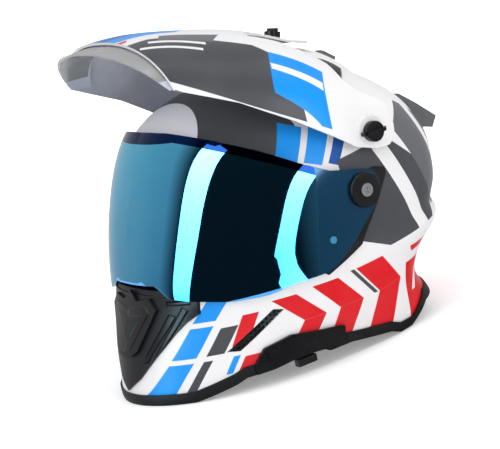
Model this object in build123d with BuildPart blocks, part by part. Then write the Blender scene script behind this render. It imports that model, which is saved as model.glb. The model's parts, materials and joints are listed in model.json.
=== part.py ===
# Dual sport helmet, standing on its rim: front is -Y, wearer's left is +X, up is +Z, millimetres
from build123d import *
from math import cos, pi, radians, sin, sqrt
import os

os.makedirs("parts", exist_ok=True)

# Overall sizes of the shell, which every outline below is a share of
HALF_WIDTH = 120.0
HALF_LENGTH = 160.0
CROWN_HEIGHT = 240.0

# Walls and clearances
SHELL_WALL = 2.8
FOAM_GAP = 0.4
FOAM_THICKNESS = 28.0
CHIN_FOAM_THICKNESS = 15.0
PAD_GAP = 0.4
CROWN_PAD_THICKNESS = 8.0
CHEEK_PAD_THICKNESS = 24.0
NECK_PAD_THICKNESS = 14.0
CLEARANCE = 0.4
SHAFT_CLEARANCE = 0.05
OVERRUN = 40.0

# Face shield
SHIELD_WALL = 2.2
PIVOT_BACK = 21.0
PIVOT_HEIGHT = 136.0
PIVOT_BOSS_RADIUS = 8.0
PIVOT_CAP_RADIUS = 14.5
PIVOT_CAP_THICKNESS = 3.0
PIVOT_CAP_GAP = 0.6
PIVOT_CAP_ROUND = 1.0
SCREW_RADIUS = 2.4
SCREW_HEAD_RADIUS = 5.5
SCREW_HEAD_THICKNESS = 1.4
SCREW_DEPTH = 6.0
SCREW_SLOT_WIDTH = 1.2
SCREW_SLOT_DEPTH = 0.6
PLATE_THICKNESS = 1.2
PIN_RADIUS = 3.0
PIN_FORE = 17.0
PIN_HEIGHT = 105.0

# Rim trims
TRIM_BASE = 2.0
TRIM_PROUD = 1.6
SIDE_TRIM_PROUD = 2.8
TRIM_HEIGHT = 9.0
NECK_TRIM_HEIGHT = 8.0
TRIM_SPLIT_FORE = 96.0
TRIM_SPLIT_AFT = 13.0
TRIM_JOINT = 0.4

# Sections of the shell from below the rim to the crown, each a share of the overall sizes:
# height, half width, front, widest place, rear, and the powers of the front and rear curves
shell_section_shares = [
    (-0.050, 0.795, -1.032, -0.290, 0.630, 1.90, 3.00),
    (0.000, 0.812, -1.042, -0.275, 0.670, 1.90, 3.00),
    (0.054, 0.838, -1.041, -0.238, 0.725, 1.90, 3.00),
    (0.104, 0.867, -1.021, -0.200, 0.700, 1.90, 2.80),
    (0.171, 0.908, -0.995, -0.138, 0.663, 1.95, 2.60),
    (0.229, 0.933, -0.964, -0.088, 0.700, 2.00, 2.50),
    (0.288, 0.963, -0.929, -0.038, 0.781, 2.10, 2.40),
    (0.338, 0.992, -0.901, 0.013, 0.875, 2.20, 2.35),
    (0.371, 0.996, -0.883, 0.038, 0.891, 2.25, 2.30),
    (0.396, 0.989, -0.873, 0.050, 0.872, 2.30, 2.30),
    (0.450, 0.996, -0.852, 0.075, 0.906, 2.35, 2.25),
    (0.533, 1.000, -0.829, 0.100, 0.941, 2.40, 2.20),
    (0.625, 0.983, -0.789, 0.125, 0.944, 2.35, 2.15),
    (0.713, 0.942, -0.740, 0.150, 0.894, 2.30, 2.10),
    (0.796, 0.867, -0.687, 0.169, 0.800, 2.30, 2.10),
    (0.863, 0.767, -0.622, 0.181, 0.681, 2.25, 2.10),
    (0.921, 0.633, -0.516, 0.194, 0.556, 2.15, 2.10),
    (0.963, 0.483, -0.356, 0.200, 0.444, 2.10, 2.05),
    (0.992, 0.283, -0.125, 0.200, 0.325, 2.00, 2.00),
    (1.000, 0.108, 0.075, 0.200, 0.270, 2.00, 2.00),
]
WIDEST_SHARE = 0.533

shield_section_shares = [
    (0.250, 1.010, -0.920, -0.060, 0.800, 2.15, 2.20),
    (0.300, 1.030, -0.922, -0.020, 0.800, 2.20, 2.20),
    (0.370, 1.036, -0.920, 0.030, 0.850, 2.25, 2.20),
    (0.470, 1.038, -0.884, 0.080, 0.900, 2.38, 2.20),
    (0.563, 1.038, -0.846, 0.106, 0.900, 2.40, 2.20),
    (0.650, 1.022, -0.805, 0.131, 0.900, 2.38, 2.20),
    (0.733, 0.985, -0.762, 0.154, 0.870, 2.35, 2.20),
    (0.804, 0.928, -0.716, 0.170, 0.830, 2.33, 2.20),
    (0.867, 0.845, -0.664, 0.180, 0.780, 2.30, 2.20),
    (0.917, 0.750, -0.603, 0.190, 0.720, 2.25, 2.20),
    (0.960, 0.640, -0.550, 0.195, 0.660, 2.20, 2.20),
]

# Side outlines, as (fore-and-aft, height) shares of the half length and the crown height
rim_shares = [
    (-1.30, 0.000), (-0.870, 0.000), (-0.690, 0.035), (-0.640, 0.050), (-0.500, 0.055),
    (-0.340, 0.072), (-0.130, 0.058), (0.220, 0.022), (0.300, 0.000), (0.400, 0.000),
    (0.540, 0.062), (0.800, 0.072), (1.30, 0.072),
]
eyeport_shares = [
    (-1.40, 0.388), (-0.900, 0.388), (-0.600, 0.368), (-0.300, 0.380), (-0.210, 0.420),
    (-0.165, 0.520), (-0.165, 0.600), (-0.230, 0.690), (-0.420, 0.785), (-0.590, 0.840),
    (-0.700, 0.850), (-1.40, 0.850),
]
shield_outline_shares = [
    (-1.20, 0.408), (-0.874, 0.408), (-0.854, 0.363), (-0.804, 0.350), (-0.640, 0.325),
    (-0.490, 0.321), (-0.360, 0.333), (-0.160, 0.338), (-0.112, 0.350), (0.019, 0.408),
    (0.100, 0.458), (0.180, 0.500), (0.231, 0.545), (0.238, 0.590), (0.210, 0.622),
    (0.165, 0.634), (-0.025, 0.663), (-0.150, 0.708), (-0.330, 0.788), (-0.506, 0.858),
    (-0.600, 0.893), (-0.640, 0.900), (-1.20, 0.900),
]
side_plate_shares = [
    (0.245, 0.625), (0.310, 0.612), (0.310, 0.590), (0.070, 0.385), (-0.155, 0.322),
    (-0.200, 0.345), (-0.120, 0.560), (-0.060, 0.610), (0.150, 0.620),
]
side_mesh_shares = [(-0.700, 0.153), (-0.460, 0.262), (-0.405, 0.252), (-0.640, 0.146)]
side_trim_top_shares = [
    (-0.600, 0.000), (-0.600, 0.083), (-0.540, 0.137), (-0.400, 0.158), (-0.120, 0.129),
    (-0.090, 0.122), (-0.085, 0.000),
]

# Front outlines, as (half width, height) shares
vent_surround_shares = [
    (0.000, 0.048), (0.140, 0.092), (0.340, 0.190), (0.430, 0.240), (0.500, 0.272),
    (0.590, 0.300), (0.600, 0.372), (0.370, 0.372), (0.210, 0.398), (0.000, 0.398),
]
vent_shutter_shares = [
    (0.000, 0.165), (0.075, 0.170), (0.150, 0.190), (0.315, 0.325), (0.240, 0.362),
    (0.090, 0.352), (0.000, 0.385),
]
vent_hole_shares = [(0.000, 0.215), (0.060, 0.215), (0.200, 0.330), (0.000, 0.345)]
rear_slot_shares = [(0.000, 0.640), (0.210, 0.640), (0.210, 0.690), (0.000, 0.690)]

# Peak
PEAK_WALL = 2.2
PEAK_AXIS_BACK = 42.0
PEAK_AXIS_HEIGHT = 179.0
EXTENDER_WALL = 1.8
EXTENDER_GAP = 0.9
TOP_KNOB_BACK = 42.0
KNOB_RADIUS = 8.5
KNOB_THICKNESS = 5.0
KNOB_WING = 2.5
KNOB_WING_WIDTH = 3.0
KNOB_GAP = 0.5
TOP_KNOB_GAP = 0.95
KNOB_SHANK_RADIUS = 2.5
KNOB_SHANK_LENGTH = 9.0
TOP_KNOB_RADIUS = 7.0
TOP_KNOB_THICKNESS = 5.0
BOSS_RADIUS = 7.0
BOSS_GAP = 0.4
FAIRING_WALL = 2.4

# Peak sections from the lip to the arms: fore-and-aft place, half width, base height, top height
peak_section_shares = [
    (-1.100, 0.690, 1.045, 1.195),
    (-0.940, 0.740, 1.040, 1.225),
    (-0.690, 0.820, 1.000, 1.235),
    (-0.440, 0.885, 0.920, 1.222),
    (-0.140, 0.955, 0.805, 1.180),
    (0.100, 1.018, 0.705, 1.125),
    (0.250, 1.008, 0.650, 1.080),
    (0.380, 0.980, 0.615, 1.052),
    (0.500, 0.945, 0.590, 1.020),
]
PEAK_POWER = 2.4
peak_side_shares = [
    (-0.690, 1.060), (-0.735, 1.240), (-0.735, 1.300), (0.700, 1.300), (0.700, 0.860),
    (0.430, 0.800), (0.440, 0.740), (0.420, 0.695), (0.370, 0.678), (0.280, 0.682),
    (0.150, 0.712), (0.090, 0.745), (-0.140, 0.858), (-0.385, 0.963),
]
peak_top_shares = [
    (0.000, 0.390), (0.190, 0.390), (0.250, 0.340), (0.300, 0.060), (0.365, -0.065),
    (0.460, -0.080), (0.540, 0.050), (0.660, 0.150), (0.740, 0.220), (0.850, 0.240),
    (0.885, 0.300), (0.895, 0.500), (1.200, 0.500), (1.200, -1.300), (0.000, -1.300),
]
extender_side_shares = [
    (-0.700, 1.062), (-0.860, 1.215), (-0.860, 1.300), (-0.620, 1.300), (-0.570, 1.050),
]

# Crown fairing sections: fore-and-aft place, half width, base height, top height
fairing_section_shares = [
    (-0.170, 0.300, 0.940, 1.030),
    (0.020, 0.330, 0.940, 1.042),
    (0.262, 0.330, 0.930, 1.044),
    (0.470, 0.320, 0.860, 0.996),
    (0.640, 0.260, 0.760, 0.909),
    (0.730, 0.180, 0.720, 0.848),
]
FAIRING_POWER = 2.3
crown_vent_shares = [
    (0.080, 0.110), (0.380, 0.100), (0.540, 0.150), (0.620, 0.240), (0.625, 0.340),
    (0.520, 0.400), (0.300, 0.400),
]
CROWN_VENT_PROUD = 3.5
crown_slot_shares = [
    (0.300, 0.150), (0.500, 0.180), (0.560, 0.300), (0.480, 0.360), (0.300, 0.340),
]

# Rear spoiler: side profile and plan
spoiler_side_shares = [
    (0.600, 0.810), (0.800, 0.778), (0.910, 0.722), (1.032, 0.652), (0.990, 0.615),
    (0.880, 0.640), (0.780, 0.700), (0.600, 0.780),
]
spoiler_top_shares = [
    (-0.220, 0.600), (0.220, 0.600), (0.370, 0.780), (0.320, 1.100), (-0.320, 1.100),
    (-0.370, 0.780),
]

# Sun visor, a surface of revolution about its own cross axis
VISOR_BACK = -17.0
VISOR_HEIGHT = 153.0
VISOR_RADIUS = 79.0
VISOR_HALF_WIDTH = 96.0
VISOR_WALL = 2.0
VISOR_POWER = 2.4
VISOR_BOSS_RADIUS = 8.0
VISOR_PIN_RADIUS = 3.0
VISOR_LOW_ANGLE = 38.0
VISOR_HIGH_ANGLE = 70.0
VISOR_SWING = 34.0
VISOR_POCKET_GAP = 1.5

# Sun visor slider: tab under the left rim, T head in a track
TAB_FORE = 60.0
TAB_LENGTH = 18.0
TAB_TRAVEL = 18.0
TAB_STEM_IN = 92.6
TAB_STEM_THICKNESS = 2.2
TAB_GRIP_OUT = 99.0
TAB_GRIP_BASE = 7.5
TAB_GRIP_TOP = 13.4
TAB_HEAD_WING = 2.0
TAB_HEAD_BASE = 28.8
TAB_HEAD_HEIGHT = 3.2
TRACK_WALL = 2.0
TRACK_BASE = 26.8
TRACK_CLEARANCE = 0.3

# Chin curtain and breath guard
CURTAIN_DEPTH = 40.0
CURTAIN_LIFT = 4.0
CURTAIN_THICKNESS = 1.6
CURTAIN_AFT = 118.0
GUARD_WALL = 2.0
GUARD_AFT = 60.0
guard_shares = [(0.000, 0.300), (0.300, 0.300), (0.260, 0.420), (0.100, 0.470), (0.000, 0.475)]

# Chin strap: anchors, webbing and its sag, as (across, height) points from the anchor down
STRAP_BACK = -4.0
STRAP_WIDTH = 24.0
STRAP_THICKNESS = 1.8
STRAP_TOP_ACROSS = 97.4
STRAP_TOP = 30.3
STRAP_BEND = 24.0
STRAP_SAG_LEFT = [(93.6, 18.5), (88.0, 10.0), (79.0, 5.2), (70.0, 4.8)]
STRAP_SAG_RIGHT = [(93.6, 18.5), (88.0, 10.0), (77.0, 4.8), (60.0, 4.2), (44.0, 5.6)]
ANCHOR_BASE = 22.5
ANCHOR_WIDTH = 18.0
ANCHOR_GAP = 0.4
RIVET_HEIGHT = 26.5
RIVET_RADIUS = 2.0
RIVET_HEAD_RADIUS = 3.6
RIVET_HEAD_THICKNESS = 0.9

# Ratchet buckle
BUCKLE_FRONT = 14.0
BUCKLE_REAR = 42.0
BUCKLE_TAIL = 58.0
BUCKLE_WIDTH = 28.0
BUCKLE_BASE = 2.6
BUCKLE_PLATE = 1.8
BUCKLE_HEIGHT = 8.4
POST_INSET = 8.0
LEVER_PIN_ACROSS = 38.0
LEVER_PIN_HEIGHT = 8.6
LEVER_PIN_RADIUS = 1.4
LEVER_KNUCKLE_RADIUS = 2.3
LEVER_THICKNESS = 1.8
LEVER_LIFT = 0.5
PAWL_DROP = 0.6
TONGUE_TAIL = -24.0
TONGUE_TIP = 33.0
TONGUE_WIDTH = 18.0
TONGUE_THICKNESS = 1.6
TOOTH_COUNT = 5
TOOTH_WIDTH = 1.4
TOOTH_HEIGHT = 0.5

# Eye port gasket
GASKET_PROUD = 1.2
GASKET_WIDTH = 4.0

# Anti-fog pins
PIN_FLANGE = 0.8

# Chin vent
VENT_BASE = 2.0
VENT_SLIDE_GAP = 0.5
VENT_COVER = 2.6
MESH_DEPTH = 0.8
MESH_THICKNESS = 1.2
PEG_HALF_WIDTH = 4.0
PEG_HEIGHT = 8.0
PEG_MIDDLE = 62.0

# Side mesh
MESH_HOLE_RADIUS = 1.3
MESH_HOLES_IN_ROW = 12

# Peak seats
KNOB_SEAT_RADIUS = 13.0
PEAK_AXIS_WIDTH = 122.0

# Crown slider and fairing slot
FAIRING_SLOT_HALF = 12.0
SLIDER_LENGTH = 16.0
SLIDER_WIDTH = 14.0
SLIDER_THICKNESS = 3.0
SLIDER_PEG_WIDTH = 4.0
SLIDER_TRAVEL = 6.0
SLIDER_LIFT = 1.6

# Spoiler
SPOILER_HALF_WIDTH = 60.0
POCKET_HALF_WIDTH = 30.0

# Sun visor outline
VISOR_POINTS = 24
VISOR_START = 0.06

# Sun visor pocket in the foam
POCKET_DEPTH = 18.0
POCKET_BORE_GAP = 2.4
POCKET_MARGIN_ANGLE = 4.0


def superellipse_point(angle, half_width, front, middle, rear, front_power, rear_power):
    """One point of a plan section, egg shaped with its own power at each end."""
    across = cos(angle)
    along = sin(angle)
    power = front_power if along < 0 else rear_power
    reach = middle - front if along < 0 else rear - middle
    x = half_width * (1 if across > 0 else -1) * abs(across) ** (2 / power)
    y = middle + reach * (1 if along > 0 else -1) * abs(along) ** (2 / power)
    return x, y


SECTION_POINTS = 32


def chord_parameters(points):
    """How far along each point lies, as a share of the whole, so that all sections can share it."""
    lengths = [0.0]
    for start, end in zip(points, points[1:]):
        lengths.append(lengths[-1] + sqrt((end[0] - start[0]) ** 2 + (end[1] - start[1]) ** 2))
    return [length / lengths[-1] for length in lengths]


def skin(section_shares, offset=0.0):
    """A lofted egg-shaped solid, grown or shrunk evenly by an offset."""
    widest = min(section_shares, key=lambda row: abs(row[0] - WIDEST_SHARE))
    widest_height = widest[0] * CROWN_HEIGHT
    across_scale = 1 + offset / (widest[1] * HALF_WIDTH)
    front_scale = 1 + offset / ((widest[3] - widest[2]) * HALF_LENGTH)
    rear_scale = 1 + offset / ((widest[4] - widest[3]) * HALF_LENGTH)
    up_scale = 1 + offset / (CROWN_HEIGHT - widest_height)
    sections = []
    for height, width, front, middle, rear, front_power, rear_power in section_shares:
        z = height * CROWN_HEIGHT
        half_width = width * HALF_WIDTH
        middle_y = middle * HALF_LENGTH
        fore = (middle - front) * HALF_LENGTH
        aft = (rear - middle) * HALF_LENGTH
        if z > widest_height:
            z = widest_height + (z - widest_height) * up_scale
            half_width *= across_scale
            fore *= front_scale
            aft *= rear_scale
        else:
            half_width += offset
            fore += offset
            aft += offset
        points = [
            superellipse_point(
                2 * pi * index / SECTION_POINTS,
                half_width,
                middle_y - fore,
                middle_y,
                middle_y + aft,
                front_power,
                rear_power,
            )
            for index in range(SECTION_POINTS)
        ]
        sections.append((z, points))
    middle_points = sections[len(sections) // 2][1]
    parameters = chord_parameters(middle_points + middle_points[:1])
    with BuildPart() as body:
        for z, points in sections:
            with BuildSketch(Plane.XY.offset(z)):
                with BuildLine():
                    add(Edge.make_spline(points, periodic=True, parameters=parameters))
                make_face()
        loft()
    return body.part


def arch(section_shares, power, inset=0.0):
    """A lofted arch along the helmet, from rows of place, half width, base and top."""
    sections = []
    for place, width, base, top in section_shares:
        half_width = width * HALF_WIDTH - inset
        base_z = base * CROWN_HEIGHT - inset
        rise = top * CROWN_HEIGHT - base_z - inset
        points = []
        for index in range(SECTION_POINTS // 2 + 1):
            angle = pi * index / (SECTION_POINTS // 2)
            across = cos(angle)
            side = 1 if across > 0 else -1
            points.append(
                (
                    half_width * side * abs(across) ** (2 / power),
                    base_z + rise * sin(angle) ** (2 / power),
                )
            )
        sections.append((place * HALF_LENGTH, points))
    parameters = chord_parameters(sections[len(sections) // 2][1])
    with BuildPart() as body:
        for y, points in sections:
            with BuildSketch(Plane.XZ.offset(-y)):
                with BuildLine():
                    add(Edge.make_spline(points, parameters=parameters))
                    Line(points[-1], points[0])
                make_face()
        loft()
    return body.part


def side_block(outline_shares, lift=0.0, low=-OVERRUN - HALF_WIDTH, high=OVERRUN + HALF_WIDTH):
    """A block through the helmet from side to side, with a side outline."""
    points = [(fore * HALF_LENGTH, height * CROWN_HEIGHT + lift) for fore, height in outline_shares]
    with BuildPart() as block:
        with BuildSketch(Plane.YZ.offset(low)):
            with BuildLine():
                Polyline(*points, close=True)
            make_face()
        extrude(amount=high - low)
    return block.part


def front_block(outline_shares, low, high):
    """A block along the helmet with a front outline that is the same on both sides."""
    right = [(across * HALF_WIDTH, height * CROWN_HEIGHT) for across, height in outline_shares]
    left = [(-x, z) for x, z in reversed(right) if x > 0]
    with BuildPart() as block:
        with BuildSketch(Plane.XZ.offset(-high)):
            with BuildLine():
                Polyline(*right, *left, close=True)
            make_face()
        extrude(amount=high - low)
    return block.part


def top_block(outline_shares, low, high, both_sides=True):
    """An upright block with a plan outline, mirrored to both sides where asked."""
    right = [(across * HALF_WIDTH, fore * HALF_LENGTH) for across, fore in outline_shares]
    left = [(-x, y) for x, y in reversed(right) if x > 0] if both_sides else []
    with BuildPart() as block:
        with BuildSketch(Plane.XY.offset(low)):
            with BuildLine():
                Polyline(*right, *left, close=True)
            make_face()
        extrude(amount=high - low)
    return block.part


def under_rim(lift=0.0):
    """Everything below the rim line, raised by a lift."""
    floor = -OVERRUN / CROWN_HEIGHT
    outline = rim_shares + [(rim_shares[-1][0], floor), (rim_shares[0][0], floor)]
    points = [(fore * HALF_LENGTH, height * CROWN_HEIGHT + lift) for fore, height in rim_shares]
    points += [(fore * HALF_LENGTH, height * CROWN_HEIGHT) for fore, height in outline[-2:]]
    with BuildPart() as block:
        with BuildSketch(Plane.YZ.offset(-HALF_WIDTH - OVERRUN)):
            with BuildLine():
                Polyline(*points, close=True)
            make_face()
        extrude(amount=2 * (HALF_WIDTH + OVERRUN))
    return block.part


def slab(fore, aft):
    """A block between two fore-and-aft places, past the helmet every other way."""
    with BuildPart() as block:
        with BuildSketch(Plane.XY.offset(-OVERRUN)):
            with Locations((0, (fore + aft) / 2)):
                Rectangle(2 * (HALF_WIDTH + OVERRUN), aft - fore)
        extrude(amount=2 * CROWN_HEIGHT)
    return block.part


def keep(piece, label):
    """Name a finished piece and write it."""
    piece.label = label
    export_step(piece, f"parts/{label}.step")
    print(label, len(piece.solids()), round(piece.volume))


# Skins that the pieces are cut from
outer_skin = skin(shell_section_shares)
shell_inner_skin = skin(shell_section_shares, -SHELL_WALL)
foam_outer = -SHELL_WALL - FOAM_GAP
foam_inner = foam_outer - FOAM_THICKNESS
foam_outer_skin = skin(shell_section_shares, foam_outer)
foam_inner_skin = skin(shell_section_shares, foam_inner)
trim_skin = skin(shell_section_shares, TRIM_PROUD)
trim_inner_skin = skin(shell_section_shares, -SHELL_WALL - TRIM_PROUD)
pad_skin = skin(shell_section_shares, foam_inner - PAD_GAP)

# Outer shell, with the eye port, the crown vents and the chin slots cut through
eyeport_block = side_block(eyeport_shares)
side_mesh_block = side_block(side_mesh_shares)
vent_hole_block = front_block(vent_hole_shares, -HALF_LENGTH - OVERRUN, -HALF_WIDTH)
crown_slot_left = top_block(crown_slot_shares, HALF_LENGTH, 2 * CROWN_HEIGHT, both_sides=False)
rear_slot_block = front_block(rear_slot_shares, HALF_WIDTH, HALF_LENGTH)
shell_underside = under_rim(TRIM_BASE)
with BuildPart() as outer_shell:
    add(outer_skin)
    add(shell_inner_skin, mode=Mode.SUBTRACT)
    add(shell_underside, mode=Mode.SUBTRACT)
    add(eyeport_block, mode=Mode.SUBTRACT)
    add(side_mesh_block, mode=Mode.SUBTRACT)
    add(vent_hole_block, mode=Mode.SUBTRACT)
    add(crown_slot_left, mode=Mode.SUBTRACT)
    add(mirror(crown_slot_left, about=Plane.YZ), mode=Mode.SUBTRACT)
    add(rear_slot_block, mode=Mode.SUBTRACT)
keep(outer_shell.part, "outer_shell")

# Rubber edge round the eye port, a channel over the shell's cut edge
gasket_skin = skin(shell_section_shares, GASKET_PROUD)
eyeport_points = [(fore * HALF_LENGTH, height * CROWN_HEIGHT) for fore, height in eyeport_shares]
with BuildPart() as gasket_frame:
    with BuildSketch(Plane.YZ.offset(-HALF_WIDTH - OVERRUN)):
        with BuildLine():
            Polyline(*eyeport_points, close=True)
        make_face()
        offset(amount=GASKET_WIDTH, kind=Kind.INTERSECTION)
        with BuildLine():
            Polyline(*eyeport_points, close=True)
        make_face(mode=Mode.SUBTRACT)
    extrude(amount=2 * (HALF_WIDTH + OVERRUN))
with BuildPart() as eyeport_gasket:
    add(gasket_frame.part)
    add(gasket_skin, mode=Mode.INTERSECT)
    add(outer_skin, mode=Mode.SUBTRACT)
keep(eyeport_gasket.part, "eyeport_gasket")
with BuildPart() as gasket_clear:
    with BuildSketch(Plane.YZ.offset(-HALF_WIDTH - OVERRUN)):
        with BuildLine():
            Polyline(*eyeport_points, close=True)
        make_face()
        offset(amount=GASKET_WIDTH + CLEARANCE, kind=Kind.INTERSECTION)
    extrude(amount=2 * (HALF_WIDTH + OVERRUN))

# Face shield, pivoting on the two side bosses
shield_outer_skin = skin(shield_section_shares)
shield_inner_skin = skin(shield_section_shares, -SHIELD_WALL)
SHIELD_HALF_WIDTH = max(row[1] for row in shield_section_shares) * HALF_WIDTH
cap_inside = SHIELD_HALF_WIDTH + PIVOT_CAP_GAP
cap_outside = cap_inside + PIVOT_CAP_THICKNESS
reach_across = HALF_WIDTH + OVERRUN
shield_outline_block = side_block(shield_outline_shares)
with BuildPart() as face_shield:
    add(shield_outer_skin)
    add(shield_inner_skin, mode=Mode.SUBTRACT)
    add(shield_outline_block, mode=Mode.INTERSECT)
    with BuildSketch(Plane.YZ.offset(-reach_across)):
        with Locations((PIVOT_BACK, PIVOT_HEIGHT)):
            Circle(PIVOT_BOSS_RADIUS + SHAFT_CLEARANCE)
        with Locations((-PIN_FORE, PIN_HEIGHT)):
            Circle(PIN_RADIUS - CLEARANCE)
    extrude(amount=2 * reach_across, mode=Mode.SUBTRACT)
keep(face_shield.part, "face_shield")

# Anti-fog lens pins, pressed through the shield
pin_outer_skin = skin(shield_section_shares, PIN_FLANGE)
pin_inner_skin = skin(shield_section_shares, -SHIELD_WALL - PIN_FLANGE)
with BuildPart() as pinlock_pins:
    with BuildSketch(Plane.YZ.offset(-reach_across)):
        with Locations((-PIN_FORE, PIN_HEIGHT)):
            Circle(PIN_RADIUS)
    extrude(amount=2 * reach_across)
    add(pin_outer_skin, mode=Mode.INTERSECT)
    add(pin_inner_skin, mode=Mode.SUBTRACT)
    add(face_shield.part, mode=Mode.SUBTRACT)
keep(pinlock_pins.part, "pinlock_pins")

# Side base plate with the pivot boss, on the shell under the shield
plate_skin = skin(shell_section_shares, PLATE_THICKNESS)
plate_seat_skin = skin(shell_section_shares, CLEARANCE / 2)
side_plate_block = side_block(side_plate_shares, low=0.0)


def side_plate(side):
    """A base plate for one side: the pad on the shell, its boss and the screw hole."""
    plate_block = side_plate_block if side > 0 else mirror(side_plate_block, about=Plane.YZ)
    with BuildPart() as plate:
        add(plate_block)
        add(plate_skin, mode=Mode.INTERSECT)
        with BuildSketch(Plane.YZ.offset(side * (HALF_WIDTH - PLATE_THICKNESS))):
            with Locations((PIVOT_BACK, PIVOT_HEIGHT)):
                Circle(PIVOT_BOSS_RADIUS)
        extrude(amount=side * (cap_inside - HALF_WIDTH + PLATE_THICKNESS))
        add(plate_seat_skin, mode=Mode.SUBTRACT)
        with BuildSketch(Plane.YZ.offset(side * (cap_inside - SCREW_DEPTH / 2))):
            with Locations((PIVOT_BACK, PIVOT_HEIGHT)):
                Circle(SCREW_RADIUS + SHAFT_CLEARANCE)
        extrude(amount=side * SCREW_DEPTH, mode=Mode.SUBTRACT)
    return plate.part


keep(side_plate(1), "side_plate_left")
keep(side_plate(-1), "side_plate_right")

with BuildPart() as pivot_cap_left:
    with BuildSketch(Plane.YZ.offset(cap_inside)):
        with Locations((PIVOT_BACK, PIVOT_HEIGHT)):
            Circle(PIVOT_CAP_RADIUS)
    extrude(amount=PIVOT_CAP_THICKNESS)
    fillet(pivot_cap_left.edges().filter_by(GeomType.CIRCLE).sort_by(Axis.X)[-1], PIVOT_CAP_ROUND)
    with BuildSketch(Plane.YZ.offset(cap_inside)):
        with Locations((PIVOT_BACK, PIVOT_HEIGHT)):
            Circle(SCREW_RADIUS + SHAFT_CLEARANCE)
    extrude(amount=PIVOT_CAP_THICKNESS, mode=Mode.SUBTRACT)
keep(pivot_cap_left.part, "pivot_cap_left")
keep(mirror(pivot_cap_left.part, about=Plane.YZ), "pivot_cap_right")

with BuildPart() as pivot_screws:
    with BuildSketch(Plane.YZ.offset(cap_outside)):
        with Locations((PIVOT_BACK, PIVOT_HEIGHT)):
            Circle(SCREW_HEAD_RADIUS)
    extrude(amount=SCREW_HEAD_THICKNESS)
    with BuildSketch(Plane.YZ.offset(cap_outside)):
        with Locations((PIVOT_BACK, PIVOT_HEIGHT)):
            Circle(SCREW_RADIUS)
    extrude(amount=-PIVOT_CAP_THICKNESS - SCREW_DEPTH / 2 + CLEARANCE)
    with BuildSketch(Plane.YZ.offset(cap_outside + SCREW_HEAD_THICKNESS)):
        with Locations((PIVOT_BACK, PIVOT_HEIGHT)):
            Rectangle(SCREW_HEAD_RADIUS, SCREW_SLOT_WIDTH)
            Rectangle(SCREW_SLOT_WIDTH, SCREW_HEAD_RADIUS)
    extrude(amount=-SCREW_SLOT_DEPTH, mode=Mode.SUBTRACT)
    mirror(about=Plane.YZ)
keep(pivot_screws.part, "pivot_screws")

# Rubber and hard rim trims, channels over the shell's bottom edge
trim_band = under_rim(TRIM_HEIGHT)
rim_underside = under_rim()
with BuildPart() as rim_channel:
    add(trim_skin)
    add(trim_inner_skin, mode=Mode.SUBTRACT)
    add(trim_band, mode=Mode.INTERSECT)
    add(rim_underside, mode=Mode.SUBTRACT)
    add(outer_shell.part, mode=Mode.SUBTRACT)
chin_trim_length = slab(-HALF_LENGTH - OVERRUN, -TRIM_SPLIT_FORE)
with BuildPart() as chin_trim:
    add(rim_channel.part)
    add(chin_trim_length, mode=Mode.INTERSECT)
keep(chin_trim.part, "chin_trim")
neck_trim_length = slab(-TRIM_SPLIT_AFT + TRIM_JOINT, HALF_LENGTH + OVERRUN)
with BuildPart() as neck_trim:
    add(rim_channel.part)
    add(neck_trim_length, mode=Mode.INTERSECT)
keep(neck_trim.part, "neck_trim")
side_trim_skin = skin(shell_section_shares, SIDE_TRIM_PROUD)
side_trim_length = slab(-TRIM_SPLIT_FORE + TRIM_JOINT, -TRIM_SPLIT_AFT)


def side_trim(trim_block, kept_half):
    """The rim trim of one side: a band on the shell's face, and the channel round its edge."""
    with BuildPart() as band:
        add(trim_block)
        add(side_trim_skin, mode=Mode.INTERSECT)
        add(outer_skin, mode=Mode.SUBTRACT)
        add(rim_underside, mode=Mode.SUBTRACT)
        add(side_trim_length, mode=Mode.INTERSECT)
    with BuildPart() as trim:
        add(rim_channel.part)
        add(side_trim_length, mode=Mode.INTERSECT)
        split(bisect_by=Plane.YZ, keep=kept_half)
        add(band.part)
    return trim.part


keep(side_trim(side_block(side_trim_top_shares, low=0.0), Keep.TOP), "side_trim_left")
keep(side_trim(side_block(side_trim_top_shares, high=0.0), Keep.BOTTOM), "side_trim_right")

# Chin vent: housing on the shell, sliding cover with its peg, mesh in the shell's hole
vent_base_skin = skin(shell_section_shares, VENT_BASE)
vent_cover_skin = skin(shell_section_shares, VENT_BASE + VENT_SLIDE_GAP + VENT_COVER)
vent_under_skin = skin(shell_section_shares, VENT_BASE + VENT_SLIDE_GAP)
mesh_outer_skin = skin(shell_section_shares, -MESH_DEPTH)
mesh_inner_skin = skin(shell_section_shares, -MESH_DEPTH - MESH_THICKNESS)
front_reach = HALF_LENGTH + OVERRUN
vent_surround_block = front_block(vent_surround_shares, -front_reach, -HALF_WIDTH / 2)
with BuildPart() as chin_vent_surround:
    add(vent_surround_block)
    add(vent_base_skin, mode=Mode.INTERSECT)
    add(outer_skin, mode=Mode.SUBTRACT)
    add(vent_hole_block, mode=Mode.SUBTRACT)
    add(gasket_clear.part, mode=Mode.SUBTRACT)
keep(chin_vent_surround.part, "chin_vent_surround")
vent_shutter_block = front_block(vent_shutter_shares, -front_reach, -HALF_WIDTH)
with BuildPart() as chin_vent_shutter:
    add(vent_shutter_block)
    add(vent_cover_skin, mode=Mode.INTERSECT)
    add(vent_under_skin, mode=Mode.SUBTRACT)
    with BuildSketch(Plane.XZ.offset(HALF_WIDTH)):
        with Locations((0, PEG_MIDDLE)):
            Rectangle(2 * PEG_HALF_WIDTH, PEG_HEIGHT)
    extrude(amount=front_reach - HALF_WIDTH)
    add(vent_cover_skin, mode=Mode.INTERSECT)
    add(outer_skin, mode=Mode.SUBTRACT)
keep(chin_vent_shutter.part, "chin_vent_shutter")
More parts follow.
